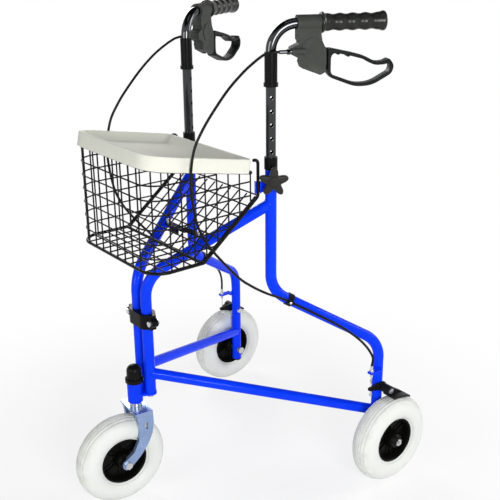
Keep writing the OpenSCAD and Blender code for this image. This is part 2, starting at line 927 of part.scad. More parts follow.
clip_w = 12;
clip_wall = 2;
diagonal_slope = atan2(leg_bend_z - upright_bend_z, leg_reach - upright_reach);
clip_run = rear_bend_r * tan((90 + diagonal_slope) / 2) + clip_w / 2 + 2;
clip_along = upright_reach + clip_run * cos(diagonal_slope);
clip_z = upright_bend_z + clip_run * sin(diagonal_slope);
cable_out = tube_r + 1 + cable_r;

// Saddle that holds the brake cable on the outside of the rear diagonal
module cable_clip(side) {
    color(black_plastic)
        on_frame(side)
            translate([0, clip_along, clip_z])
                rotate([diagonal_slope, 0, 0])
                    rotate([90, 0, 0])
                        difference() {
                            union() {
                                translate([0, 0, -clip_w / 2])
                                    cylinder(r = tube_r + clip_wall, h = clip_w);
                                translate([cable_out, 0, -clip_w / 2])
                                    cylinder(r = cable_r + clip_wall, h = clip_w);
                            }
                            translate([0, 0, -clip_w])
                                cylinder(r = tube_r + seat_fit, h = 2 * clip_w);
                            translate([cable_out, 0, -clip_w])
                                cylinder(r = cable_r + 0.5, h = 2 * clip_w);
                        }
}

// Star knob with its clamp screw, which stops just short of the handle tube

knob_star_x = knob_boss_x + 8;
knob_star_t = 11;
knob_arms = 5;
knob_waist_r = 14.5;
knob_lean = 15;

function star_point(a) =
    knob_waist_r + (knob_r - knob_waist_r) * (1 + cos(knob_arms * a)) / 2;

module star_knob(side) {
    step = 4;
    color(black_plastic)
        on_frame(side)
            translate([0, upright_reach, knob_z]) {
                side_plate(knob_star_x + knob_star_t / 2, knob_star_t)
                    polygon([
                        for (a = [0 : step : 360 - step])
                            star_point(a) * [cos(a + knob_lean), sin(a + knob_lean)]
                    ]);
                bar_x(knob_boss_x + body_gap, knob_star_x + knob_star_t + 3, 10);
                bar_x(handle_r + body_gap + 0.5, knob_star_x, knob_screw_r);
            }
}

// Handles

handle_end = grip_start + grip_l - 8;
handle_path = [[0, handle_low_z], [0, grip_z], [handle_end, grip_z]];

// Chrome tube with its row of height holes
module handle_tube(side) {
    bends = [0, handle_bend_r, 0];
    color(chrome)
        on_handle(side)
            difference() {
                stand()
                    pipe(handle_path, bends, handle_r);
                stand()
                    pipe(stretch(handle_path, cut, cut), bends, handle_r - handle_wall);
                for (k = [0 : hole_n - 1])
                    translate([0, 0, knob_z + k * hole_pitch])
                        rotate([0, 0, -handle_turn])
                            bar_x(-handle_d, handle_d, hole_d / 2);
            }
}

sleeve_top_z = grip_z - sleeve_drop;
sleeve_l = sleeve_share * (sleeve_top_z - upright_top_z - collar_h);
sleeve_low_z = sleeve_top_z - sleeve_l;
sleeve_wall = 2.4;
sleeve_ring_wall = 4;
sleeve_ring_h = 7;

module stop_sleeve(side) {
    color(black_plastic)
        on_handle(side)
            translate([0, 0, sleeve_low_z])
                difference() {
                    union() {
                        cylinder(r = handle_r + sleeve_wall, h = sleeve_l);
                        cylinder(r = handle_r + sleeve_ring_wall, h = sleeve_ring_h);
                    }
                    translate([0, 0, -cut])
                        cylinder(r = handle_r + seat_fit, h = sleeve_l + 2 * cut);
                }
}

grip_waves = 4;
grip_wave_h = 1.3;
grip_flange_h = 3;
grip_end_wall = 4;

// Rubber grip with finger grooves, a flange at its start and a closed end
module grip(side) {
    grip_r = grip_d / 2;
    first = 12;
    last = grip_l - 14;
    steps = 6 * grip_waves;
    color(rubber_black)
        on_handle(side)
            translate([0, grip_start, grip_z])
                rotate([-90, 0, 0])
                    rotate_extrude()
                        polygon(concat(
                            [[handle_r + seat_fit, 0], [grip_r + grip_flange_h, 0],
                             [grip_r + grip_flange_h, 4], [grip_r, 7]],
                            [for (k = [0 : steps])
                                [grip_r - grip_wave_h * (1 - cos(360 * grip_waves * k / steps)) / 2,
                                 first + (last - first) * k / steps]],
                            [[grip_r + 2, grip_l - 6], [grip_r + 1, grip_l - 1.5],
                             [grip_r - 2, grip_l], [0, grip_l], [0, grip_l - grip_end_wall],
                             [handle_r + seat_fit, grip_l - grip_end_wall]]
                        ));
}

// Brake levers, drawn in (Y, Z) from the upright axis and the grip axis

lever_pivot = [73.5, -44.5];
lever_boss_r = 18.5;
lever_tab_r = 12;
clamp_from = 47;
clamp_to = 91;
clamp_r = 14.5;
housing_outline = [
    [47, 0], [91, 0], [91, -21], [93, -32], [100, -46], [101, -70], [99, -88], [90, -92.5],
    [55, -79], [51, -68], [53, -63], [35, -54], [35, -42], [51, -35], [47, -28]
];
lever_outer = [
    [104, -44], [150, -54.5], [174, -61], [195, -72.5], [212, -72], [222, -66.5],
    [232, -80], [227.5, -95], [189, -116], [156.5, -116.5], [111, -99], [104, -91]
];
lever_inner = [
    [110, -52], [150, -61], [172, -67], [193, -79], [214, -78], [222, -75],
    [225, -82], [222, -91], [187, -110], [158, -110.5], [114, -94], [110, -88]
];
adjuster_x = handle_r + sleeve_wall + cable_r + 1.6;
adjuster_z = -48;
adjuster_r = 3.6;
adjuster_from = 12;
adjuster_boss_r = 5.5;

module on_lever_pivot(side) {
    on_handle(side)
        translate([0, lever_pivot.x, grip_z + lever_pivot.y])
            children();
}

// Clamp, two cheeks with a slot for the lever tab, and the boss of the cable adjuster
module lever_housing(side) {
    slot = lever_tab_t + 2 * body_gap;
    color(lever_grey)
        on_handle(side)
            difference() {
                union() {
                    translate([0, clamp_from, grip_z])
                        rotate([-90, 0, 0])
                            cylinder(r = clamp_r, h = clamp_to - clamp_from);
                    translate([0, 0, grip_z])
                        side_plate(0, brake_w)
                            polygon(rounded(housing_outline, 4));
                    translate([0, lever_pivot.x, grip_z + lever_pivot.y])
                        bar_x(-brake_w / 2 - 1.5, brake_w / 2 + 1.5, lever_boss_r);
                    translate([adjuster_x, adjuster_from + 23, grip_z + adjuster_z])
                        rotate([-90, 0, 0])
                            cylinder(r = adjuster_boss_r, h = 24);
                }
                translate([0, clamp_from - cut, grip_z])
                    rotate([-90, 0, 0])
                        cylinder(r = handle_r + seat_fit, h = clamp_to - clamp_from + 2 * cut);
                translate([0, lever_pivot.x, grip_z + lever_pivot.y]) {
                    bar_x(-slot / 2, slot / 2, lever_tab_r + 2);
                    translate([-slot / 2, 0, -60])
                        cube([slot, 60, 60 + lever_tab_r + 2]);
                    bar_x(-brake_w, brake_w, lever_pin_d / 2 + seat_fit);
                }
                translate([adjuster_x, adjuster_from, grip_z + adjuster_z])
                    rotate([-90, 0, 0])
                        cylinder(r = adjuster_r + seat_fit, h = 35);
            }
}

module lever_pin(side) {
    color(steel)
        on_lever_pivot(side)
            bar_x(-brake_w / 2 - 1.4, brake_w / 2 + 1.4, lever_pin_d / 2);
}

// Threaded barrel that the brake cable runs out of
module cable_adjuster(side) {
    color(chrome)
        on_handle(side)
            translate([adjuster_x, adjuster_from, grip_z + adjuster_z])
                rotate([-90, 0, 0]) {
                    cylinder(r = adjuster_r, h = 34);
                    translate([0, 0, 14])
                        cylinder(r = adjuster_r + 2, h = 5, $fn = 6);
                }
}

// Closed loop lever with its tab on the pin
module brake_lever(side) {
    color(lever_grey)
        on_handle(side)
            difference() {
                union() {
                    translate([0, 0, grip_z])
                        side_plate(0, lever_w)
                            difference() {
                                polygon(rounded(lever_outer, 5));
                                polygon(rounded(lever_inner, 4));
                            }
                    translate([0, 0, grip_z])
                        side_plate(0, lever_tab_t)
                            polygon([
                                lever_pivot + [0, lever_tab_r], [107, -46], [107, -86],
                                [90, -76], lever_pivot + [0, -lever_tab_r]
                            ]);
                    translate([0, lever_pivot.x, grip_z + lever_pivot.y])
                        bar_x(-lever_tab_t / 2, lever_tab_t / 2, lever_tab_r);
                }
                translate([0, lever_pivot.x, grip_z + lever_pivot.y])
                    bar_x(-brake_w, brake_w, lever_pin_d / 2 + run_fit);
            }
}

pad_from = -4;
pad_to = 42;
pad_t = 4;
pad_w = tyre_w - 20;
arm_outline = [
    [-40, 2], [-40, 9], [-14, 11], [6, 10], [11, 4], [11, -4], [6, -10], [0, -10], [-16, -4]
];
rib_outline = [[-4, -9.5], [-4, 0], [0, 9.5], [9, 3], [36, -13.5], [36, -16.5], [20, -12], [0, -9.5]];

// Brake arm: a plate for the wire, a hub on the pivot bolt and a shoe over the tyre
module brake_arm(side) {
    hub_end = arm_x + arm_hub_l;
    shoe_from = wheel_offset - pad_w / 2;
    color(black_plastic)
        on_leg(side)
            difference() {
                union() {
                    translate([0, 0, brake_pivot_z]) {
                        side_plate(arm_x + arm_t / 2, arm_t)
                            polygon(rounded(arm_outline, 4));
                        bar_x(arm_x, hub_end, arm_hub_r);
                        side_plate((shoe_from + hub_end) / 2, hub_end - shoe_from)
                            polygon(rib_outline);
                    }
                    difference() {
                        translate([0, 0, axle_z])
                            bar_x(shoe_from, shoe_from + pad_w, wheel_r + pad_gap + pad_t);
                        translate([0, -2 * wheel_r, 0])
                            cube([4 * wheel_r, 2 * wheel_r + pad_from, 4 * wheel_r]);
                        translate([0, pad_to, 0])
                            cube([4 * wheel_r, 2 * wheel_r, 4 * wheel_r]);
                        translate([0, -2 * wheel_r, axle_z - 2 * wheel_r])
                            cube([4 * wheel_r, 4 * wheel_r, 2 * wheel_r]);
                        translate([0, 0, axle_z])
                            bar_x(0, 4 * wheel_r, wheel_r + pad_gap);
                    }
                }
                translate([0, 0, brake_pivot_z])
                    bar_x(0, hub_end + cut, brake_bolt_d / 2 + run_fit);
                translate([lug_x, -lug_reach, brake_pivot_z - tube_d])
                    cylinder(r = wire_r + 0.6, h = 2 * tube_d);
            }
}

// Brake cables

// Places on the left side frame, its handle and its leg, in the walker's axes
function frame_point(x, y, z) = [
    hinge_spacing / 2 + x * cos(frame_half_angle) + y * sin(frame_half_angle),
    hinge_y - x * sin(frame_half_angle) + y * cos(frame_half_angle), z
];
function handle_point(x, y, z) = frame_point(
    x * cos(handle_turn) - y * sin(handle_turn),
    upright_reach + x * sin(handle_turn) + y * cos(handle_turn), z
);
function clip_point(x, run) = frame_point(
    cable_out + x, clip_along + run * cos(diagonal_slope), clip_z + run * sin(diagonal_slope)
);

// Place on the way from a to b; a row gives the share of the way and the sag in X and Y
function sagged(a, b, row) = a + (b - a) * row[0] + [row[1], row[2], 0];

// Brake cable of the left side: out of the adjuster, round in front, through the clip, into the lug
cable_neck = handle_point(adjuster_x, adjuster_from - 14, grip_z + adjuster_z);
cable_foot = frame_point(0, leg_reach, lug_z + 18) + [lug_x, -lug_reach, body_gap];
cable_front = [
    [0.006, -2.8, -15.5], [0.031, -3.1, -40.7], [0.066, -3.6, -68.4], [0.122, -4.9, -102.6],
    [0.202, -5.5, -141.6], [0.256, -6.2, -163.4], [0.303, -6.9, -178], [0.369, -7.8, -188.5],
    [0.457, -8.6, -194], [0.577, -9.7, -188.5], [0.651, -9.7, -176.6], [0.727, -8.8, -153.8],
    [0.845, -11.4, -107], [0.901, -11.2, -76.6], [0.944, -6, -47]
];
cable_rear = [[0.2, 3.9, 10.7], [0.467, 9.4, 21.4], [0.742, 8.5, 18.3]];
cable_points = concat(
    [handle_point(adjuster_x, adjuster_from - body_gap, grip_z + adjuster_z), cable_neck],
    [for (row = cable_front) sagged(cable_neck, clip_point(0, -8), row)],
    [clip_point(3, -24), clip_point(0, -8), clip_point(0, 8)],
    [for (row = cable_rear) sagged(clip_point(0, 8), cable_foot + [0, 0, 22], row)],
    [cable_foot + [0, 0, 22], cable_foot]
);
cable_rings = 2 * len(cable_points) - 1;
cable_sides = 8;

// Point at u on a smooth curve through the points, u from 0 to the last index
function along(points, u) =
    let (last = len(points) - 1, i = min(floor(u), last - 1), f = u - i,
         a = points[max(i - 1, 0)], b = points[i],
         c = points[i + 1], d = points[min(i + 2, last)])
    0.5 * (2 * b + (c - a) * f + (2 * a - 5 * b + 4 * c - d) * f * f
           + (3 * b - a - 3 * c + d) * f * f * f);

// One closed tube swept along a smooth curve
module swept_tube(points, r, rings, sides) {
    last = len(points) - 1;
    path = [for (k = [0 : rings - 1]) along(points, k * last / (rings - 1))];
    skin = [
        for (k = [0 : rings - 1])
            let (t = unit(path[min(k + 1, rings - 1)] - path[max(k - 1, 0)]),
                 a = unit(cross(t, [1, 0, 0])), b = cross(t, a))
            for (j = [0 : sides - 1])
                path[k] + r * (cos(360 * j / sides) * a + sin(360 * j / sides) * b)
    ];
    walls = [
        for (k = [0 : rings - 2], j = [0 : sides - 1])
            let (p = k * sides + j, q = k * sides + (j + 1) % sides)
            each [[p, p + sides, q], [q, p + sides, q + sides]]
    ];
    ends = [
        for (j = [1 : sides - 2])
            each [[0, j, j + 1], [rings * sides - sides, rings * sides - sides + j + 1,
                                  rings * sides - sides + j]]
    ];
    polyhedron(skin, concat(walls, ends));
}

module brake_cable(side) {
    color(rubber_black)
        mirror([side < 0 ? 1 : 0, 0, 0])
            swept_tube(cable_points, cable_r, cable_rings, cable_sides);
}

// Folding brace

brace_x = hinge_spacing / 2 + brace_reach * sin(frame_half_angle) - ear_reach * cos(frame_half_angle);
brace_y = hinge_y + brace_reach * cos(frame_half_angle) + ear_reach * sin(frame_half_angle);
rivet_h = 2;
rivet_r = 5.5;

// Flat link from its ear to the centre line, with one half of the centre rivet
module brace_link(side) {
    color(black_plastic)
        translate([side * brace_x, brace_y, link_z(side)])
            mirror([side < 0 ? 1 : 0, 0, 0]) {
                difference() {
                    linear_extrude(link_t) {
                        circle(r = link_w / 2);
                        translate([-brace_x, 0])
                            circle(r = link_w / 2);
                        translate([-brace_x, -link_w / 2])
                            square([brace_x, link_w]);
                    }
                    translate([0, 0, -cut])
                        cylinder(r = link_pin_r + run_fit, h = link_t + 2 * cut);
                }
                translate([-brace_x, 0, side > 0 ? link_t - 0.5 : -rivet_h])
                    cylinder(r = rivet_r, h = rivet_h + 0.5);
            }
}

// Basket, drawn from the hinge post line

basket_half_w = hinge_spacing / 2 + rod_x;
rear_floor_y = basket_floor - basket_front;
rear_corner_r = 10;
wire_inset = border_r + bend_swell + weld_gap;
rim_slope = atan2(rim_front_z - rim_rear_z, basket_front + rod_y);
back_slope = atan2(rod_low_z - basket_floor_z, rod_y - rear_floor_y);
back_l = norm([rod_y - rear_floor_y, rod_low_z - basket_floor_z]);

function rim_z(y) = rim_front_z - (y + basket_front) * tan(rim_slope);

module on_basket() {
    translate([0, hinge_y, 0])
        children();
}

// Border wires: a top rim butted at its rear, a lower border that climbs to two rear rods with hooks,
// and a cross wire at the back of the floor
module basket_rim() {
    w = basket_half_w;
    front = -basket_front / cos(rim_slope);
    rear = (rod_y - 2 * border_d) / cos(rim_slope);
    side_mid = rear_floor_y / 2;
    hook_r = 8;
    hook_z = rim_rear_z + 18;
    hook_l = 3;
    cross_w = w - border_r - weld_gap;
    color(black_plastic)
        on_basket() {
            translate([0, 0, rim_z(0)])
                rotate([-rim_slope, 0, 0])
                    pipe([[weld_gap, rear], [w, rear], [w, front], [-w, front], [-w, rear], [0, rear]],
                         [0, rear_corner_r, basket_corner_r, basket_corner_r, rear_corner_r, 0], border_r);
            translate([0, 0, basket_floor_z])
                pipe([[w, side_mid], [w, -basket_front], [-w, -basket_front], [-w, side_mid]],
                     [0, basket_corner_r, basket_corner_r, 0], border_r);
            for (x = [-w, w])
                translate([x, 0, 0])
                    stand()
                        pipe([[side_mid + weld_gap, basket_floor_z], [rear_floor_y, basket_floor_z],
                              [rod_y, rod_low_z], [rod_y, hook_z + hook_r],
                              [rod_y - hook_r - hook_l, hook_z + hook_r]],
                             [0, rear_corner_r, rear_corner_r, hook_r, 0], border_r);
            translate([0, rear_floor_y - border_r, basket_floor_z])
                bar_x(-cross_w, cross_w, border_r);
        }
}

// Flat grille of square wires that fills the outline given as a child
module grille(x0, x1, y0, y1) {
    nx = round((x1 - x0) / wire_pitch);
    ny = round((y1 - y0) / wire_pitch);
    linear_extrude(wire_d)
        intersection() {
            children();
            union() {
                for (i = [0 : nx])
                    translate([x0 + (x1 - x0) * i / nx - wire_d / 2, y0 - wire_pitch])
                        square([wire_d, y1 - y0 + 2 * wire_pitch]);
                for (j = [0 : ny])
                    translate([x0 - wire_pitch, y0 + (y1 - y0) * j / ny - wire_d / 2])
                        square([x1 - x0 + 2 * wire_pitch, wire_d]);
            }
        }
}

// Free space between a side grille and the rear rod, for the basket bracket
rod_room = 18;
flat_half_w = basket_half_w - basket_corner_r;
side_from = basket_corner_r - basket_front;
grille_low = basket_floor_z + wire_inset;

// Height of the underside of the top rim over a place y
function grille_top(y) = rim_z(y) - wire_inset / cos(rim_slope) - 0.5;

module basket_front_grille() {
    top = grille_top(-basket_front);
    color(black_plastic)
        on_basket()
            translate([0, -basket_front + wire_d / 2, 0])
                rotate([90, 0, 0])
                    grille(-flat_half_w, flat_half_w, grille_low + wire_d / 2, top - wire_d / 2)
                        translate([-flat_half_w, grille_low])
                            square([2 * flat_half_w, top - grille_low]);
}

// Side grille with its rounded front corner
module basket_side_grille(side) {
    slope_gap = wire_inset / cos(back_slope);
    front_top = grille_top(side_from);
    bend = rear_corner_r * tan(back_slope / 2);
    rear_y = rod_y - rod_room;
    rear_low = rod_low_z + slope_gap - rod_room * tan(back_slope);
    rows = round((front_top - grille_low) / wire_pitch);
    mid = 45;
    color(black_plastic)
        on_basket()
            mirror([side < 0 ? 1 : 0, 0, 0]) {
                side_plate_grille();
                translate([flat_half_w, side_from, 0])
                    rotate([0, 0, -90]) {
                        for (j = [0 : rows])
                            translate([0, 0, grille_low + (front_top - grille_low - wire_d) * j / rows])
                                rotate_extrude(angle = 90)
                                    translate([basket_corner_r - wire_d / 2, 0])
                                        square([wire_d, wire_d]);
                        rotate([0, 0, mid])
                            translate([basket_corner_r - wire_d / 2, -wire_d / 2, grille_low])
                                cube([wire_d, wire_d, front_top - grille_low]);
                    }
            }
    module side_plate_grille() {
        translate([basket_half_w - wire_d / 2, 0, 0])
            stand()
                grille(side_from, rear_y, grille_low + wire_d / 2, front_top - wire_d / 2)
                    polygon([
                        [side_from + seat_fit, grille_low], [rear_floor_y - bend, grille_low],
                        [rear_floor_y + bend * cos(back_slope) - wire_inset * sin(back_slope),
                         basket_floor_z + bend * sin(back_slope) + wire_inset * cos(back_slope)],
                        [rear_y, rear_low], [rear_y, grille_top(rear_y)],
                        [side_from + seat_fit, front_top]
                    ]);
    }
}

module basket_left_grille() { basket_side_grille(1); }
module basket_right_grille() { basket_side_grille(-1); }

module basket_back_grille() {
    half_w = basket_half_w - wire_inset;
    color(black_plastic)
        on_basket()
            translate([0, rear_floor_y, basket_floor_z])
                rotate([back_slope, 0, 0])
                    translate([0, 0, -wire_d / 2])
                        grille(-half_w + wire_d / 2, half_w - wire_d / 2, wire_inset + wire_d / 2, back_l)
                            translate([-half_w, wire_inset])
                                square([2 * half_w, back_l - wire_inset + wire_d / 2]);
}

module basket_base_grille() {
    half_w = basket_half_w - wire_inset;
    front = -basket_front + wire_inset;
    rear = rear_floor_y - border_d - weld_gap;
    inner_r = basket_corner_r - wire_inset;
    color(black_plastic)
        on_basket()
            translate([0, 0, basket_floor_z - wire_d / 2])
                grille(-half_w + wire_d, half_w - wire_d, front + wire_d, rear - wire_d / 2)
                    difference() {
                        translate([-half_w, front])
                            square([2 * half_w, rear - front]);
                        for (way = [0, 1])
                            mirror([way, 0])
                                translate([half_w - inner_r, front + inner_r])
                                    difference() {
                                        translate([0, -2 * inner_r])
                                            square([2 * inner_r, 2 * inner_r]);
                                        circle(r = inner_r);
                                    }
                    }
}

// Tray

tray_l = basket_front + rod_y - tray_short;
tray_half_w = basket_half_w + tray_wall / 2;
tray_front = basket_front + tray_wall / 2;
tray_front_r = basket_corner_r + 4;
tray_rear_r = 10;
tray_gap = body_gap + 0.1;

// Tray outline drawn in by an inset, front corners round
function tray_corners(inset) = [
    [tray_half_w - tray_taper - inset, inset], [tray_half_w - inset, tray_l - inset],
    [-tray_half_w + inset, tray_l - inset], [-tray_half_w + tray_taper + inset, inset]
];

module tray_outline(inset) {
    front_r = tray_front_r - inset;
    corners = tray_corners(inset);
    soft = rounded(corners, front_r, 8);
    tail = rounded(corners, max(tray_rear_r - inset, 3), 4);
    polygon([
        for (k = [0 : 8]) soft[k],
        for (k = [5 : 14]) tail[k],
        for (k = [27 : 35]) soft[k]
    ]);
}

// Tray with a recessed floor; its skirt stands on the basket's rim
module tray() {
    floor_z = tray_h - tray_recess;
    color(tray_cream)
        on_basket()
            translate([0, 0, rim_z(0)])
                rotate([-rim_slope, 0, 0])
                    translate([0, -tray_front / cos(rim_slope), border_r + tray_gap])
                        difference() {
                            linear_extrude(tray_h)
                                tray_outline(0);
                            translate([0, 0, floor_z])
                                linear_extrude(tray_h)
                                    tray_outline(tray_rim_w);
                            translate([0, 0, -cut])
                                linear_extrude(floor_z - tray_wall + cut)
                                    tray_outline(tray_wall);
                        }
}

// Sides

module left_front_tube() { front_tube(1); }
module left_rear_tube() { rear_tube(1); }
module left_lower_rail() { lower_rail(1); }
module left_tube_caps() { tube_caps(1); }
module left_brackets() { brackets(1); }
module left_frame_bolts() { frame_bolts(1); }
module left_cable_clip() { cable_clip(1); }
module left_brake_cable() { brake_cable(1); }
module left_tyre() { rear_tyre(1); }
module left_rim() { rear_rim(1); }
module left_wheel_bushes() { rear_bushes(1); }
module left_star_knob() { star_knob(1); }
module left_handle_tube() { handle_tube(1); }
module left_stop_sleeve() { stop_sleeve(1); }
module left_grip() { grip(1); }
module left_lever_housing() { lever_housing(1); }
module left_lever_pin() { lever_pin(1); }
module left_cable_adjuster() { cable_adjuster(1); }
module left_brake_lever() { brake_lever(1); }
module left_brake_arm() { brake_arm(1); }
module left_brace_link() { brace_link(1); }

module right_front_tube() { front_tube(-1); }
module right_rear_tube() { rear_tube(-1); }
module right_lower_rail() { lower_rail(-1); }
module right_tube_caps() { tube_caps(-1); }
module right_brackets() { brackets(-1); }
module right_frame_bolts() { frame_bolts(-1); }
module right_cable_clip() { cable_clip(-1); }
module right_brake_cable() { brake_cable(-1); }
module right_tyre() { rear_tyre(-1); }
module right_rim() { rear_rim(-1); }
module right_wheel_bushes() { rear_bushes(-1); }
module right_star_knob() { star_knob(-1); }
module right_handle_tube() { handle_tube(-1); }
module right_stop_sleeve() { stop_sleeve(-1); }
module right_grip() { grip(-1); }
module right_lever_housing() { lever_housing(-1); }
module right_lever_pin() { lever_pin(-1); }
module right_cable_adjuster() { cable_adjuster(-1); }
module right_brake_lever() { brake_lever(-1); }
module right_brake_arm() { brake_arm(-1); }
module right_brace_link() { brace_link(-1); }

castor_housing();
housing_cap();
hinge_clamp();
hinge_bolts();
castor_bearings();
castor_fork();
castor_stem();
front_axle();
front_tyre();
front_rim();
front_wheel_bushes();
left_front_tube();
left_rear_tube();
left_lower_rail();
left_tube_caps();
left_brackets();
left_frame_bolts();
left_cable_clip();
left_brake_cable();
left_tyre();
left_rim();
left_wheel_bushes();
left_star_knob();
left_handle_tube();
left_stop_sleeve();
left_grip();
left_lever_housing();
left_lever_pin();
left_cable_adjuster();
left_brake_lever();
left_brake_arm();
left_brace_link();
right_front_tube();
right_rear_tube();
right_lower_rail();
right_tube_caps();
right_brackets();
right_frame_bolts();
right_cable_clip();
right_brake_cable();
right_tyre();
right_rim();
right_wheel_bushes();
right_star_knob();
right_handle_tube();
right_stop_sleeve();
right_grip();
right_lever_housing();
right_lever_pin();
right_cable_adjuster();
right_brake_lever();
right_brake_arm();
right_brace_link();
basket_rim();
basket_front_grille();
basket_left_grille();
basket_right_grille();
basket_back_grille();
basket_base_grille();
tray();
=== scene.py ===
"""Dressed model of a three wheel rollator: finishes, moving pieces, basket, tray and studio."""

import logging
import math
from dataclasses import dataclass
from enum import Enum
from typing import Any, Optional, Sequence

import bmesh
import bpy
import numpy as np
from mathutils import Matrix, Vector


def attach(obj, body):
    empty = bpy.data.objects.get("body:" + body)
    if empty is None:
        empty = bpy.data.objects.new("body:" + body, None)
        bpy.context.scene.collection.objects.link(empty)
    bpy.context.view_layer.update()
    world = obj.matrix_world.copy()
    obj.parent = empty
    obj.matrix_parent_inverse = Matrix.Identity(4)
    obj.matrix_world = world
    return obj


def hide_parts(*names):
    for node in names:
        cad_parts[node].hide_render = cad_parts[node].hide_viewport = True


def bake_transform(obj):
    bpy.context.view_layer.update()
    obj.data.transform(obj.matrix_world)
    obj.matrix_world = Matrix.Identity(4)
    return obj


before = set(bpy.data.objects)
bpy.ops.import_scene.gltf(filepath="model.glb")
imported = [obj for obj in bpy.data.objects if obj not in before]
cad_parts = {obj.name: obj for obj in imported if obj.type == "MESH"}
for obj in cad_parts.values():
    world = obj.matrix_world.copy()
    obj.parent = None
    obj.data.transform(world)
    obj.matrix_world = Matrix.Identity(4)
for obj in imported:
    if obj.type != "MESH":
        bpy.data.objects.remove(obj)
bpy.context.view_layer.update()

log = logging.getLogger("rollator")
MM = 0.001
WHITE = (1.0, 1.0, 1.0, 1.0)
Pair = tuple[float, float]
Points = tuple[Pair, ...]
Triple = tuple[float, float, float]
Colour = Triple


class Side(Enum):
    """The two side frames; the value is the sign of X."""

    LEFT = 1
    RIGHT = -1

    @property
    def word(self) -> str:
        """The side as the node and body names spell it."""
        return self.name.lower()

    @property
    def mirror(self) -> Matrix:
        """Mirror from the left side to this one."""
        return Matrix.Diagonal((self.value, 1, 1, 1))


# Node graphs


class Value:
    """A node output with arithmetic: an expression on values adds its Math nodes."""

    def __init__(self, graph: "Graph", socket: bpy.types.NodeSocket) -> None:
        """Keep the graph that new nodes go to and the output socket."""
        self.graph = graph
        self.socket = socket

    def also(self, name: str) -> "Value":
        """Another output of the same node, by its name."""
        return Value(self.graph, self.socket.node.outputs[name])

    def math(self, operation: str, *terms: Any) -> "Value":
        """A Math node over these terms, each a value or a number."""
        return self.graph.node("ShaderNodeMath", {"operation": operation}, dict(enumerate(terms)))

    def __add__(self, other: Any) -> "Value":
        """self + other."""
        return self.math("ADD", self, other)

    def __radd__(self, other: Any) -> "Value":
        """other + self."""
        return self.math("ADD", other, self)

    def __sub__(self, other: Any) -> "Value":
        """self - other."""
        return self.math("SUBTRACT", self, other)

    def __rsub__(self, other: Any) -> "Value":
        """other - self."""
        return self.math("SUBTRACT", other, self)

    def __mul__(self, other: Any) -> "Value":
        """self * other."""
        return self.math("MULTIPLY", self, other)

    def __rmul__(self, other: Any) -> "Value":
        """other * self."""
        return self.math("MULTIPLY", other, self)

    def __truediv__(self, other: Any) -> "Value":
        """self / other."""
        return self.math("DIVIDE", self, other)

    def __gt__(self, other: Any) -> "Value":
        """1 where self is greater than other."""
        return self.math("GREATER_THAN", self, other)

    def sine(self) -> "Value":
        """Sine of the value in radians."""
        return self.math("SINE", self)

    def between(self, low: float, high: float) -> "Value":
        """The value's place between low and high, held to 0..1."""
        inputs = {"Value": self, "From Min": low, "From Max": high}
        return self.graph.node("ShaderNodeMapRange", {"interpolation_type": "SMOOTHSTEP"}, inputs)


class Graph:
    """A node tree under construction."""

    MIX_A, MIX_B, MIX_RESULT = 6, 7, 2  # the colour sockets of a Mix node

    def __init__(self, tree: bpy.types.NodeTree) -> None:
        """Start from an empty tree."""
        self.tree = tree
        tree.nodes.clear()

    def node(self, kind: str, settings: Optional[dict[str, Any]] = None,
             inputs: Optional[dict[Any, Any]] = None, output: Any = 0) -> Value:
        """Add one node.

        Args:
            kind: The node's type.
            settings: Attributes of the node, set first.
            inputs: Values or links of its sockets, by name or index.
            output: The output that is wanted, by name or index.

        Returns:
            That output.
        """
        made = self.tree.nodes.new(kind)
        for key, setting in (settings or {}).items():
            setattr(made, key, setting)
        for key, value in (inputs or {}).items():
            if isinstance(value, Value):
                self.tree.links.new(value.socket, made.inputs[key])
            else:
                made.inputs[key].default_value = value
        return Value(self, made.outputs[output]) if len(made.outputs) else Value(self, None)

    def blend(self, mask: Any, low: Any, high: Any) -> Value:
        """A colour that goes from low to high with a mask.

        Args:
            mask: Value or number from 0 to 1.
            low: Colour, or a value, where the mask is 0.
            high: Colour, or a value, where the mask is 1.

        Returns:
            The blended colour.
        """
        ends = [c if isinstance(c, Value) else (*c, 1.0) for c in (low, high)]
        inputs = {0: mask, self.MIX_A: ends[0], self.MIX_B: ends[1]}
        return self.node("ShaderNodeMix", {"data_type": "RGBA"}, inputs, self.MIX_RESULT)

    def noise(self, where: Value, scale: float, detail: float = 3.0, rough: float = 0.55) -> Value:
        """Noise from 0 to 1 at so many cells to the metre."""
        inputs = {"Vector": where, "Scale": scale, "Detail": detail, "Roughness": rough}
        return self.node("ShaderNodeTexNoise", None, inputs)

    def bump(self, height: Value, depth: float) -> Value:
        """A normal from a height, with the depth of one unit in metres."""
        inputs = {"Strength": 1.0, "Distance": depth, "Height": height}
        return self.node("ShaderNodeBump", None, inputs)

    def stored(self, name: str) -> Value:
        """A number that a piece keeps on its points, by its name."""
        return self.node("ShaderNodeAttribute", {"attribute_name": name}, None, "Fac")

    def mix(self, mask: Value, low: Value, high: Value) -> Value:
        """A shader that goes from low to high with a mask."""
        return self.node("ShaderNodeMixShader", None, {0: mask, 1: low, 2: high})


# Finishes


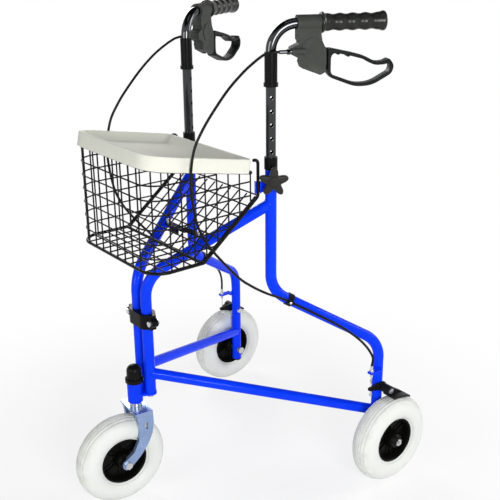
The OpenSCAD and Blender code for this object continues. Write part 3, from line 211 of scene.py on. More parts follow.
@dataclass(frozen=True)
class Finish:
    """A surface finish; each kind says how its shader varies, with scales in cells to the metre."""

    name: str
    slot: str
    colour: Colour
    roughness: float

    def material(self) -> bpy.types.Material:
        """The finish's material, made once.

        Returns:
            The material.
        """
        known = bpy.data.materials.get(self.name)
        if known is not None:
            return known
        made = bpy.data.materials.new(self.name)
        made.use_nodes = True
        graph = Graph(made.node_tree)
        where = graph.node("ShaderNodeTexCoord", None, None, "Object")
        shader = self.shader(graph, where)
        graph.node("ShaderNodeOutputMaterial", None, {"Surface": shader})
        made.diffuse_color = (*self.colour, 1.0)
        return made

    def shader(self, graph: Graph, where: Value) -> Value:
        """The finish's shader.

        Args:
            graph: The material's node graph.
            where: Object coordinates in metres.

        Returns:
            The shader's output.
        """
        raise NotImplementedError

    def principled(self, graph: Graph, inputs: dict[str, Any]) -> Value:
        """A Principled shader with these inputs."""
        return graph.node("ShaderNodeBsdfPrincipled", None, inputs)

    def shade(self, factor: float) -> Colour:
        """The finish's colour, made darker or lighter by a factor."""
        return tuple(min(1.0, c * factor) for c in self.colour)


@dataclass(frozen=True)
class Paint(Finish):
    """Baked gloss paint on tube: faint orange peel and dull handling marks under a clear gloss."""

    cloud: float = 9.0
    marks: float = 60.0
    peel: float = 420.0
    peel_depth: float = 0.00003
    specular: float = 0.05
    coat: float = 0.05
    rubbed: float = 0.04

    def shader(self, graph: Graph, where: Value) -> Value:
        """Gloss paint with a coat that is rubbed in places.

        Args:
            graph: The material's node graph.
            where: Object coordinates in metres.

        Returns:
            The shader's output.
        """
        cloud = graph.noise(where, self.cloud, detail=4.0).between(0.3, 0.7)
        marks = graph.noise(where, self.marks, detail=6.0, rough=0.7).between(0.58, 0.78)
        peel = graph.noise(where, self.peel, detail=2.0)
        return self.principled(graph, {
            "Base Color": graph.blend(cloud, self.shade(0.88), self.shade(1.06)),
            "Roughness": self.roughness + marks * 0.12,
            "Coat Weight": self.coat - marks * self.rubbed,
            "Coat Roughness": 0.04,
            "Specular IOR Level": self.specular,
            "Normal": graph.bump(peel, self.peel_depth),
        })


@dataclass(frozen=True)
class Metal(Finish):
    """Plated or bare metal with fine drawn lines and a little haze."""

    haze: float = 0.12
    plating: float = 1.0
    clouds: float = 35.0
    line: Triple = (900.0, 900.0, 40.0)
    line_depth: float = 0.000006

    def shader(self, graph: Graph, where: Value) -> Value:
        """Metal whose roughness follows haze and drawn lines.

        Args:
            graph: The material's node graph.
            where: Object coordinates in metres.

        Returns:
            The shader's output.
        """
        haze = graph.noise(where, self.clouds, detail=5.0, rough=0.6)
        stretch = {0: where, 1: self.line}
        drawn = graph.node("ShaderNodeVectorMath", {"operation": "MULTIPLY"}, stretch)
        lines = graph.noise(drawn, 1.0, detail=2.0)
        return self.principled(graph, {
            "Base Color": graph.blend(haze.between(0.35, 0.75), self.shade(0.9), self.shade(1.05)),
            "Metallic": self.plating,
            "Roughness": self.roughness + haze.between(0.45, 0.8) * self.haze + lines * 0.03,
            "Normal": graph.bump(lines, self.line_depth),
        })


@dataclass(frozen=True)
class Moulded(Finish):
    """Moulded plastic with spark grain, worn a little smoother and paler in patches."""

    grain: float = 1400.0
    depth: float = 0.00008
    patches: float = 26.0
    wear: float = 1.25
    specular: float = 0.07

    def shader(self, graph: Graph, where: Value) -> Value:
        """Grained plastic with patches of wear.

        Args:
            graph: The material's node graph.
            where: Object coordinates in metres.

        Returns:
            The shader's output.
        """
        grain = graph.noise(where, self.grain, detail=2.0)
        patch = graph.noise(where, self.patches, detail=5.0, rough=0.65).between(0.45, 0.75)
        speck = graph.noise(where, self.grain * 0.4, detail=1.0).between(0.5, 0.8)
        base = graph.blend(patch, self.colour, self.shade(self.wear))
        return self.principled(graph, {
            "Base Color": graph.blend(speck * 0.3, base, self.shade(0.75)),
            "Roughness": self.roughness + grain * 0.12 - patch * 0.1,
            "Specular IOR Level": self.specular,
            "Normal": graph.bump(grain, self.depth),
        })


@dataclass(frozen=True)
class Coated(Finish):
    """Dipped or drawn coating on wire and cable: smooth, slightly uneven gloss."""

    waves: float = 120.0
    wave_depth: float = 0.0001
    dust: float = 300.0
    specular: float = 0.08
    coat: float = 0.03

    def shader(self, graph: Graph, where: Value) -> Value:
        """Smooth coating with slow waves in its gloss.

        Args:
            graph: The material's node graph.
            where: Object coordinates in metres.

        Returns:
            The shader's output.
        """
        wave = graph.noise(where, self.waves, detail=2.0)
        dust = graph.noise(where, self.dust, detail=5.0, rough=0.7).between(0.6, 0.85)
        return self.principled(graph, {
            "Base Color": graph.blend(dust * 0.35, self.colour, self.shade(2.2)),
            "Roughness": self.roughness + wave * 0.15 + dust * 0.2,
            "Specular IOR Level": self.specular,
            "Coat Weight": self.coat - dust * self.coat,
            "Normal": graph.bump(wave, self.wave_depth),
        })


@dataclass(frozen=True)
class TyreRubber(Finish):
    """Pale solid tyre: fine moulding rings, grey scuffs on the running face and painted shade in the
    grooves.
    """

    dirt_and_groove_shade: Colour = (0.44, 0.43, 0.39)
    rings: float = 70.0
    scuffs: float = 55.0
    grain: float = 900.0
    depth: float = 0.00012

    def shader(self, graph: Graph, where: Value) -> Value:
        """Pale rubber with painted shade greying its grooves, and grey scuffs on its running face.

        Args:
            graph: The material's node graph.
            where: Object coordinates in metres.

        Returns:
            The shader's output.
        """
        across, groove = graph.stored("across"), graph.stored("groove")
        scuff = graph.noise(where, self.scuffs, detail=6.0, rough=0.7)
        grain = graph.noise(where, self.grain, detail=3.0)
        rings = (across * self.rings).sine() * 0.5 + 0.5
        worn = across.between(0.55, 0.95) * scuff.between(0.42, 0.7)
        base = graph.blend(worn * 0.4, self.colour, self.dirt_and_groove_shade)
        return self.principled(graph, {
            # painted shade: the grooves and the bead are greyed towards the scuff colour
            "Base Color": graph.blend(groove * 0.55, base, self.dirt_and_groove_shade),
            "Roughness": self.roughness + scuff * 0.15,
            "Normal": graph.bump(rings * 0.5 + grain * 0.5, self.depth),
        })


@dataclass(frozen=True)
class GripRubber(Finish):
    """Soft black grip: fine cells, polished by the hand on the ridges, where the colour is also
    lightened as a painted sheen.
    """

    cells: float = 1040.0
    cell_depth: float = 0.00003
    smears: float = 70.0
    specular: float = 0.2

    def shader(self, graph: Graph, where: Value) -> Value:
        """Rubber with a fine cell pattern and lighter smears on the ridges, part hand wear and part
        painted sheen.

        Args:
            graph: The material's node graph.
            where: Object coordinates in metres.

        Returns:
            The shader's output.
        """
        ridge = graph.stored("ridge")
        cells = graph.node("ShaderNodeTexVoronoi", {"feature": "F1"},
                           {"Vector": where, "Scale": self.cells}, "Distance")
        smear = graph.noise(where, self.smears, detail=5.0, rough=0.65)
        # hand wear with painted sheen: the colour is lightened in smears along the ridges
        polish_and_sheen = ridge * smear.between(0.3, 0.7)
        return self.principled(graph, {
            "Base Color": graph.blend(polish_and_sheen, self.colour, self.shade(1.8)),
            "Roughness": self.roughness - ridge * 0.1 + smear * 0.1,
            "Specular IOR Level": self.specular,
            "Normal": graph.bump(cells, self.cell_depth),
        })


BLUE = Paint("blue_gloss", "blue_paint", (0.002, 0.042, 0.90), 0.12)
# painted reflection: the chrome's colour is made near black, so it looks as if it mirrored a dark room
CHROME_DARK_REFLECTION = Metal("chrome_painted_dark_reflection", "chrome", (0.060, 0.062, 0.066), 0.05, haze=0.04)
# painted reflection: the fork's chrome carries a blue reflection in its colour, darkened for contrast
FORK_BLUE_REFLECTION = Metal("fork_chrome_painted_blue_reflection", "chrome", (0.27, 0.37, 0.60), 0.22, haze=0.10, plating=0.72)
STEEL = Metal("zinc_steel", "steel", (0.62, 0.62, 0.62), 0.24)
BLACK = Moulded("black_moulding", "black_plastic", (0.005, 0.005, 0.0055), 0.22, depth=0.00005)
# painted sheen: the knob's black plastic is given a paler colour than the other black mouldings
KNOB = Moulded("knob_moulding", "black_plastic", (0.028, 0.027, 0.025), 0.26, depth=0.00005)
RIM = Moulded("rim_moulding", "rim_black", (0.004, 0.004, 0.0035), 0.26)
HOUSING = Moulded("housing_nylon", "lever_grey", (0.050, 0.053, 0.047), 0.46, wear=1.3)
LEVER = Moulded("lever_nylon", "lever_grey", (0.010, 0.011, 0.011), 0.36, wear=1.35)
GRIP = GripRubber("soft_grip", "grip_rubber", (0.013, 0.014, 0.012), 0.25)
BRAKE = Coated("brake_lacquer", "brake_black", (0.007, 0.007, 0.008), 0.34)
CABLE = Coated("cable_sheath", "cable_black", (0.007, 0.007, 0.007), 0.26)
WIRE = Coated("wire_dip", "wire_black", (0.006, 0.006, 0.007), 0.30)
TYRE = TyreRubber("tyre_rubber", "tyre_grey", (0.74, 0.76, 0.72), 0.55)
TRAY = Moulded("tray_moulding", "tray_cream", (0.74, 0.745, 0.66), 0.42, grain=1100.0, depth=0.00005,
               wear=1.04)


# Making pieces


MERGE_REACH = 1e-6


class Shell:
    """Vertices and faces of one piece while it is made, in millimetres."""

    def __init__(self, name: str) -> None:
        """Start an empty piece.

        Args:
            name: Name of the piece.
        """
        self.name = name
        self.points: list[Sequence[float]] = []
        self.faces: list[list[int]] = []
        self.marks: dict[str, list[float]] = {}

    def rows(self, rings: np.ndarray, joined: bool = False, capped: bool = False,
             **marks: np.ndarray) -> None:
        """Add closed rings of points with a skin between them.

        Args:
            rings: Array of rings, points and coordinates.
            joined: Whether the last ring goes back to the first.
            capped: Whether both ends are closed with a flat face.
            marks: Values for each point by attribute name.
        """
        first = len(self.points)
        count, around = rings.shape[:2]
        self.points += rings.reshape(-1, 3).tolist()
        for key, values in marks.items():
            kept = self.marks.setdefault(key, [0.0] * first)
            kept += np.broadcast_to(values, (count, around)).reshape(-1).tolist()
        for i in range(count if joined else count - 1):
            a, b = first + i * around, first + (i + 1) % count * around
            for j in range(around):
                k = (j + 1) % around
                self.faces.append([a + j, a + k, b + k, b + j])
        if capped:
            self.faces.append([first + j for j in range(around)][::-1])
            self.faces.append([first + (count - 1) * around + j for j in range(around)])

    def lathe(self, profile: Sequence[Pair], sides: int, joined: bool = False,
              **marks: np.ndarray) -> None:
        """Turn a profile of (x, radius) about the X axis.

        Args:
            profile: Places along the axis and radii.
            sides: Points round the axis.
            joined: Whether the profile is a closed loop; if not, flat faces close its ends.
            marks: Values for each profile point by attribute name.
        """
        turn = np.linspace(0.0, 2.0 * math.pi, sides, endpoint=False)
        outline = np.array(profile)
        x = np.repeat(outline[:, :1], sides, axis=1)
        y, z = outline[:, 1:] * np.cos(turn), outline[:, 1:] * np.sin(turn)
        wide = {key: np.array(values)[:, None] for key, values in marks.items()}
        self.rows(np.stack([x, y, z], axis=2), joined, not joined, **wide)

    def tube(self, path: np.ndarray, radius: float, sides: int) -> None:
        """Sweep a round tube along a path without twist.

        Args:
            path: Points of the tube's axis.
            radius: Radius of the tube.
            sides: Points round the axis.
        """
        ahead = np.gradient(path, axis=0)
        ahead /= np.linalg.norm(ahead, axis=1, keepdims=True)
        seed = np.eye(3)[np.argmin(np.abs(ahead[0]))]
        across = np.cross(ahead[0], seed)
        turn = np.linspace(0.0, 2.0 * math.pi, sides, endpoint=False)[:, None]
        rings = []
        for point, way in zip(path, ahead):
            across = across - way * np.dot(across, way)
            across /= np.linalg.norm(across)
            around = np.cos(turn) * across + np.sin(turn) * np.cross(way, across)
            rings.append(point + radius * around)
        self.rows(np.array(rings), capped=True)

    def slab(self, outline: np.ndarray, low: float, high: float, edge: float,
             hole: Optional[np.ndarray] = None, steps: int = 3) -> None:
        """A plate in (Y, Z) from x = low to high with rounded edges.

        Args:
            outline: Closed outline of (y, z) points.
            low: Lower face.
            high: Upper face.
            edge: Radius of the rounded edges.
            hole: Outline of an opening with as many points as the outer one, or None.
            steps: Faces across each rounded edge.
        """
        turns = np.linspace(0.0, math.pi / 2, steps + 1)
        sets = [(edge * (1 - math.sin(t)), edge * (1 - math.cos(t))) for t in turns]
        layers = [(inset, low + rise) for inset, rise in sets]
        layers += [(inset, high - rise) for inset, rise in reversed(sets)]

        def skin(loop: np.ndarray, way: float) -> np.ndarray:
            """The layers of one outline, drawn in towards the solid.

            Args:
                loop: The outline.
                way: 1 for an outer outline, -1 for an opening.

            Returns:
                Rings of points, one for each layer.
            """
            loop, out = counter_clockwise(loop), []
            for inset, x in layers:
                drawn = draw_in(loop, way * inset)
                out.append(np.column_stack([np.full(len(drawn), x), drawn]))
            return np.array(out)

        outer = skin(outline, 1.0)
        if hole is None:
            self.rows(outer, capped=True)
        else:
            self.rows(np.concatenate([outer, skin(hole, -1.0)[::-1]]), joined=True)

    def build(self, finish: Finish, place: Matrix, sharp: float = 35.0) -> bpy.types.Object:
        """Make the object, merged, facing outwards, with its place in its mesh.

        Args:
            finish: The finish of the whole piece.
            place: Where the piece stands, in millimetres.
            sharp: Edges that turn by more than this many degrees stay sharp.

        Returns:
            The new object.
        """
        mesh = bpy.data.meshes.new(self.name)
        mesh.from_pydata([MM * (place @ Vector(p)) for p in self.points], [], self.faces)
        for key, values in self.marks.items():
            layer = mesh.attributes.new(key, "FLOAT", "POINT")
            layer.data.foreach_set("value", values)
        return finished(self.name, mesh, finish, sharp)


def finished(name: str, mesh: bpy.types.Mesh, finish: Finish,
             sharp: float = 35.0) -> bpy.types.Object:
    """Merge a mesh, turn its faces outwards, shade it and link it as an object.

    Args:
        name: Name of the object.
        mesh: Mesh in metres on the shared axes.
        finish: Finish of the piece.
        sharp: Edges that turn by more than this many degrees stay sharp.

    Returns:
        The new object.
    """
    work = bmesh.new()
    work.from_mesh(mesh)
    bmesh.ops.remove_doubles(work, verts=work.verts, dist=MERGE_REACH)
    bmesh.ops.recalc_face_normals(work, faces=work.faces)
    for face in work.faces:
        face.smooth = True
    for edge in work.edges:
        edge.smooth = edge.is_manifold and edge.calc_face_angle(0.0) < math.radians(sharp)
    work.to_mesh(mesh)
    work.free()
    mesh.materials.clear()
    mesh.materials.append(finish.material())
    made = bpy.data.objects.new(name, mesh)
    bpy.context.scene.collection.objects.link(made)
    return made


def draw_in(loop: np.ndarray, inset: float) -> np.ndarray:
    """Move a closed counter-clockwise outline inwards, point by point.

    Args:
        loop: The outline.
        inset: How far it moves; less than 0 is outwards.

    Returns:
        The moved outline.
    """
    before, after = loop - np.roll(loop, 1, axis=0), np.roll(loop, -1, axis=0) - loop
    before /= np.linalg.norm(before, axis=1, keepdims=True)
    after /= np.linalg.norm(after, axis=1, keepdims=True)
    way = before + after
    way /= np.linalg.norm(way, axis=1, keepdims=True)
    lean = np.clip(np.sum(way * before, axis=1, keepdims=True), 0.6, 1.0)
    return loop + inset / lean * np.column_stack([-way[:, 1], way[:, 0]])


def counter_clockwise(loop: np.ndarray) -> np.ndarray:
    """The outline in counter-clockwise order.

    Args:
        loop: A closed outline in either order.

    Returns:
        The outline, turned round where it ran clockwise.
    """
    ahead = np.roll(loop, -1, axis=0)
    area = np.sum(loop[:, 0] * ahead[:, 1] - loop[:, 1] * ahead[:, 0])
    return loop if area > 0 else loop[::-1]


def mirrored(half: Sequence[Pair]) -> list[Pair]:
    """A closed profile of (x, radius) from its half at positive x."""
    return [*half, *((-x, radius) for x, radius in reversed(half))]


def rounded(corners: Sequence[Any], radii: Sequence[float], steps: int = 6) -> np.ndarray:
    """Points of a closed outline with each corner rounded.

    Args:
        corners: Corners in order.
        radii: Radius of each corner.
        steps: Segments in each corner.

    Returns:
        The points, steps + 1 for each corner.
    """
    corners, out = np.array(corners, float), []
    for i, corner in enumerate(corners):
        back, ahead = corners[i - 1] - corner, corners[(i + 1) % len(corners)] - corner
        reach_back, reach_ahead = np.linalg.norm(back), np.linalg.norm(ahead)
        back, ahead = back / reach_back, ahead / reach_ahead
        half = math.acos(np.clip(np.dot(back, ahead), -1.0, 1.0)) / 2
        reach = min(radii[i] / math.tan(half), 0.45 * reach_back, 0.45 * reach_ahead)
        start, stop = corner + back * reach, corner + ahead * reach
        for t in np.linspace(0.0, 1.0, steps + 1):
            out.append((1 - t) ** 2 * start + 2 * t * (1 - t) * corner + t * t * stop)
    return np.array(out)


def even(loop: np.ndarray, count: int, start: np.ndarray) -> np.ndarray:
    """A closed outline in evenly spaced points, from the point nearest to start.

    Args:
        loop: The outline.
        count: Number of points.
        start: Where the first point goes.

    Returns:
        The evenly spaced points.
    """
    loop = np.roll(loop, -int(np.argmin(np.linalg.norm(loop - start, axis=1))), axis=0)
    closed = np.vstack([loop, loop[:1]])
    reach = np.concatenate([[0.0], np.cumsum(np.linalg.norm(np.diff(closed, axis=0), axis=1))])
    places = np.linspace(0.0, reach[-1], count, endpoint=False)
    return np.column_stack([np.interp(places, reach, closed[:, k]) for k in range(closed.shape[1])])


def smooth_curve(points: np.ndarray, steps: int) -> np.ndarray:
    """A smooth curve through points, with steps points to each stretch.

    Args:
        points: Points that the curve goes through.
        steps: Points to each stretch.

    Returns:
        Points of the curve.
    """
    ends = np.vstack([points[:1], points, points[-1:]])
    out = []
    for i in range(len(points) - 1):
        a, b, c, d = ends[i:i + 4]
        for f in np.linspace(0.0, 1.0, steps, endpoint=False):
            out.append(0.5 * (2 * b + (c - a) * f + (2 * a - 5 * b + 4 * c - d) * f ** 2
                              + (3 * b - a - 3 * c + d) * f ** 3))
    return np.array(out + [points[-1]])


def settle(piece: bpy.types.Object, body: str, finish: Finish, *nodes: str) -> None:
    """Put a finished piece on its body in place of CAD nodes.

    Args:
        piece: The piece.
        body: Body that it rides on.
        finish: Its finish; not used.
        nodes: CAD nodes that it stands for.
    """
    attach(piece, body)
    if nodes:
        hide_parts(*nodes)
    log.info("%s on %s: %d faces", piece.name, body, len(piece.data.polygons))


# Geometry Nodes


class NodeKit:
    """A geometry tree with named size inputs, run once on a guide and turned into a plain mesh."""

    def __init__(self, name: str, sizes: Sequence[tuple[str, str]]) -> None:
        """Start a tree with a geometry input and these sizes, each a name and a socket type.

        Args:
            name: Name of the tree.
            sizes: Its size inputs, each a name and a socket type.
        """
        self.tree = bpy.data.node_groups.new(name, "GeometryNodeTree")
        face = self.tree.interface
        face.new_socket("Geometry", in_out="INPUT", socket_type="NodeSocketGeometry")
        self.keys = {}
        for label, kind in [*sizes, ("Finish", "NodeSocketMaterial")]:
            self.keys[label] = face.new_socket(label, in_out="INPUT", socket_type=kind).identifier
        face.new_socket("Geometry", in_out="OUTPUT", socket_type="NodeSocketGeometry")
        self.graph = Graph(self.tree)
        self.given = self.graph.node("NodeGroupInput")

    def close(self, geometry: Value) -> None:
        """End the tree in realised instances with their finish.

        Args:
            geometry: What the tree has made.
        """
        real = self.graph.node("GeometryNodeRealizeInstances", None, {"Geometry": geometry})
        dressed = self.graph.node("GeometryNodeSetMaterial", None,
                                  {"Geometry": real, "Material": self.given.also("Finish")})
        self.graph.node("NodeGroupOutput", None, {"Geometry": dressed})

    def run(self, name: str, guide: bpy.types.Mesh, sizes: dict[str, Any],
            finish: Finish) -> bpy.types.Object:
        """Run the tree on a guide mesh.

        Args:
            name: Name of the new object.
            guide: Mesh that the tree starts from.
            sizes: Values of the tree's inputs by name.
            finish: Finish of the result.

        Returns:
            The result as a plain mesh object.
        """
        holder = bpy.data.objects.new(name + "_guide", guide)
        bpy.context.scene.collection.objects.link(holder)
        modifier = holder.modifiers.new("kit", "NODES")
        modifier.node_group = self.tree
        for label, value in {**sizes, "Finish": finish.material()}.items():
            modifier[self.keys[label]] = value
        graph = bpy.context.evaluated_depsgraph_get()
        mesh = bpy.data.meshes.new_from_object(holder.evaluated_get(graph))
        holder.modifiers.clear()
        bpy.data.objects.remove(holder)
        return finished(name, mesh, finish)


def wire_kit() -> NodeKit:
    """A tree that turns the edges of a guide into round wires.

    Returns:
        The tree, with inputs for the wire's size.
    """
    kit = NodeKit("Round wires", [("Wire radius", "NodeSocketFloat"), ("Sides", "NodeSocketInt")])
    graph, given = kit.graph, kit.given
    curve = graph.node("GeometryNodeMeshToCurve", None, {"Mesh": given})
    ring = graph.node("GeometryNodeCurvePrimitiveCircle", None,
                      {"Resolution": given.also("Sides"), "Radius": given.also("Wire radius")})
    skin = graph.node("GeometryNodeCurveToMesh", None,
                      {"Curve": curve, "Profile Curve": ring, "Fill Caps": True})
    kit.close(skin)
    return kit


def ring_kit() -> NodeKit:
    """A tree that repeats its guide round the X axis.

    Returns:
        The tree, with an input for the count.
    """
    kit = NodeKit("Repeat round an axle", [("Count", "NodeSocketInt")])
    graph = kit.graph
    count = kit.given.also("Count")
    spots = graph.node("GeometryNodeMeshLine", None, {"Count": count, "Offset": (0.0, 0.0, 0.0)})
    place = graph.node("GeometryNodeInputIndex")
    angle = place * (2.0 * math.pi) / count
    spin = graph.node("ShaderNodeCombineXYZ", None, {"X": angle})
    copies = graph.node("GeometryNodeInstanceOnPoints", None,
                        {"Points": spots, "Instance": kit.given, "Rotation": spin})
    kit.close(copies)
    return kit


def guide_lines(name: str, lines: Sequence[np.ndarray], place: Matrix) -> bpy.types.Mesh:
    """A mesh of edges along polylines given in millimetres.

    Args:
        name: Name of the mesh.
        lines: Points of each polyline.
        place: Where they stand.

    Returns:
        The mesh, in metres.
    """
    points, edges = [], []
    for line in lines:
        first = len(points)
        points += [MM * (place @ Vector(p)) for p in line]
        edges += [(first + i, first + i + 1) for i in range(len(line) - 1)]
    mesh = bpy.data.meshes.new(name)
    mesh.from_pydata(points, edges, [])
    return mesh


# The shared layout, in millimetres as in the part's source


@dataclass(frozen=True)
class Layout:
    """Driving sizes that say where the sub-assemblies stand."""

    half_angle: float = math.radians(29.0)
    hinge_spacing: float = 33.0
    upright_reach: float = 247.0
    leg_reach: float = 475.0
    stem_lead: float = 27.0
    castor_trail: float = 41.0
    castor_turn: float = math.radians(-5.0)
    wheel_offset: float = 39.5
    wheel_d: float = 190.0
    handle_turn: float = math.radians(2.5)
    grip_z: float = 951.0
    tube_r: float = 11.1
    rail_r: float = 11.0

    @property
    def hinge_y(self) -> float:
        """Place of the hinge posts, with the origin half way between the axles."""
        castor = self.stem_lead + self.castor_trail * math.cos(self.castor_turn)
        return (castor - self.leg_reach * math.cos(self.half_angle)) / 2

    def on_frame(self, side: Side) -> Matrix:
        """Axes of a side frame: X outwards, Y along the frame from its post."""
        return (side.mirror @ Matrix.Translation((self.hinge_spacing / 2, self.hinge_y, 0))
                @ Matrix.Rotation(-self.half_angle, 4, "Z"))

    def on_handle(self, side: Side) -> Matrix:
        """Axes of a handle: the upright is the origin, Y runs along the grip."""
        return (self.on_frame(side) @ Matrix.Translation((0, self.upright_reach, 0))
                @ Matrix.Rotation(self.handle_turn, 4, "Z"))

    def at_rear_axle(self, side: Side) -> Matrix:
        """Axes of a rear wheel, X along its axle."""
        return (self.on_frame(side) @ Matrix.Translation((0, self.leg_reach, 0))
                @ Matrix.Rotation(self.half_angle, 4, "Z")
                @ Matrix.Translation((self.wheel_offset, 0, self.wheel_d / 2)))

    def at_front_axle(self) -> Matrix:
        """Axes of the front wheel, X along its axle."""
        return (Matrix.Translation((0, self.hinge_y - self.stem_lead, 0))
                @ Matrix.Rotation(self.castor_turn, 4, "Z")
                @ Matrix.Translation((0, -self.castor_trail, self.wheel_d / 2)))

    def at_basket(self) -> Matrix:
        """Axes of the basket, from the hinge post line."""
        return Matrix.Translation((0, self.hinge_y, 0))


LAYOUT = Layout()


# Sub-assemblies


@dataclass
class Wheel:
    """One wheel: solid tyre with ribbed tread, and a moulded rim with spokes."""

    name: str
    body: str
    place: Matrix
    section_r: float = 27.0
    rim_r: float = 49.0
    rim_w: float = 40.0
    rim_wall: float = 4.0
    web_t: float = 8.0
    skin_t: float = 3.0
    hub_r: float = 18.0
    hub_w: float = 50.0
    bore_r: float = 9.0
    lip: float = 1.2
    grooves: tuple[float, ...] = (-15.0, -8.5, -2.9, 2.9, 8.5, 15.0)
    groove_w: float = 0.8
    groove_depth: float = 1.0
    bead_at: float = 0.93
    bead_w: float = 0.02
    bead_depth: float = 0.7
    spokes: int = 6
    spoke_ends: Triple = (9.0, 7.0, 10.5)
    spoke_edge: float = 1.2
    rib_half: float = 1.6
    rib_h: float = 4.0
    rib_edge: float = 0.8

    def build(self, repeat: NodeKit) -> None:
        """Make the tyre and the rim."""
        self.tyre()
        self.rim(repeat)

    def tyre(self) -> None:
        """Turn the tyre with grooves round its running face."""
        centre_r = LAYOUT.wheel_d / 2 - self.section_r
        reach = math.acos((self.rim_r + 0.1 - centre_r) / self.section_r)
        sweep = np.linspace(-reach, reach, 121)
        x, rise = self.section_r * np.sin(sweep), self.section_r * np.cos(sweep)
        cut = sum(np.exp(-((x - g) / self.groove_w) ** 2) for g in self.grooves) * (rise > 0)
        bead = np.exp(-((np.abs(sweep) - self.bead_at * reach) / self.bead_w) ** 2)
        depth = 1 - (self.groove_depth * cut + self.bead_depth * bead) / self.section_r
        radius = centre_r + rise * depth
        profile = list(zip(x * depth, radius))
        across = np.clip((radius - self.rim_r) / (LAYOUT.wheel_d / 2 - self.rim_r), 0.0, 1.0)
        shell = Shell(self.name + "_tyre_dressed")
        # where the tyre's grooves and bead get painted shade
        groove = np.clip(cut + bead, 0.0, 1.0)
        shell.lathe(profile, sides=112, joined=True, across=across, groove=groove)
        settle(shell.build(TYRE, self.place, sharp=50.0), self.body, TYRE, self.name + "_tyre")

    def rim(self, repeat: NodeKit) -> None:
        """Turn the rim's ring, hub and closed web, and repeat the spokes on the web.

        Args:
            repeat: Tree that repeats a piece round the axle.
        """
        half, lip, edge, skin = self.rim_w / 2, self.lip, self.hub_w / 2, self.skin_t / 2
        rim, hub = self.rim_r, self.hub_r
        inner = rim - self.rim_wall
        ring = [(half - lip, rim), (half, rim - lip), (half, inner + lip), (half - lip, inner),
                (half - 6, inner - 1), (self.web_t / 2 + 2, inner - 2.5)]
        boss = [(edge, self.bore_r), (edge, hub - 5), (edge - 1.5, hub - 3.5), (edge - 9, hub - 1.5),
                (self.web_t, hub)]
        web = [(skin, hub - 2), (skin, inner - 1)]
        shell = Shell(self.name + "_rim_dressed")
        for profile, sides in ((ring, 96), (boss, 64), (web, 96)):
            shell.lathe(mirrored(profile), sides, joined=True)
        settle(shell.build(RIM, self.place), self.body, RIM, self.name + "_rim")
        settle(self.spoke_ring(repeat, inner), self.body, RIM, self.name + "_rim")

    def spoke_ring(self, repeat: NodeKit, inner: float) -> bpy.types.Object:
        """The spokes, each a waisted bar with a raised rib, repeated round the axle.

        Args:
            repeat: Tree that repeats a piece round the axle.
            inner: Inner radius of the rim's ring.

        Returns:
            The ring of spokes.
        """
        low, high = self.hub_r - 1.2, inner - 1.6
        foot, waist, head = self.spoke_ends
        corners = [(-foot, low), (foot, low), (waist, (low + high) / 2), (head, high), (-head, high),
                   (-waist, (low + high) / 2)]
        spoke, face, rib = Shell(self.name + "_spoke"), self.web_t / 2, self.rib_half
        outline = rounded(corners, [1.0, 1.0, 9.0, 1.0, 1.0, 9.0], steps=5)
        spoke.slab(outline, -face, face, self.spoke_edge, steps=2)
        strip = np.array([(-rib, low), (rib, low), (rib, high), (-rib, high)])
        for start in (-face - self.rib_h, face):
            spoke.slab(strip, start, start + self.rib_h, self.rib_edge, steps=2)
        guide = bpy.data.meshes.new(self.name + "_spoke")
        guide.from_pydata([MM * Vector(p) for p in spoke.points], [], spoke.faces)
        made = repeat.run(self.name + "_spokes", guide, {"Count": self.spokes}, RIM)
        made.data.transform(Matrix.Scale(MM, 4) @ self.place @ Matrix.Scale(1 / MM, 4))
        return made


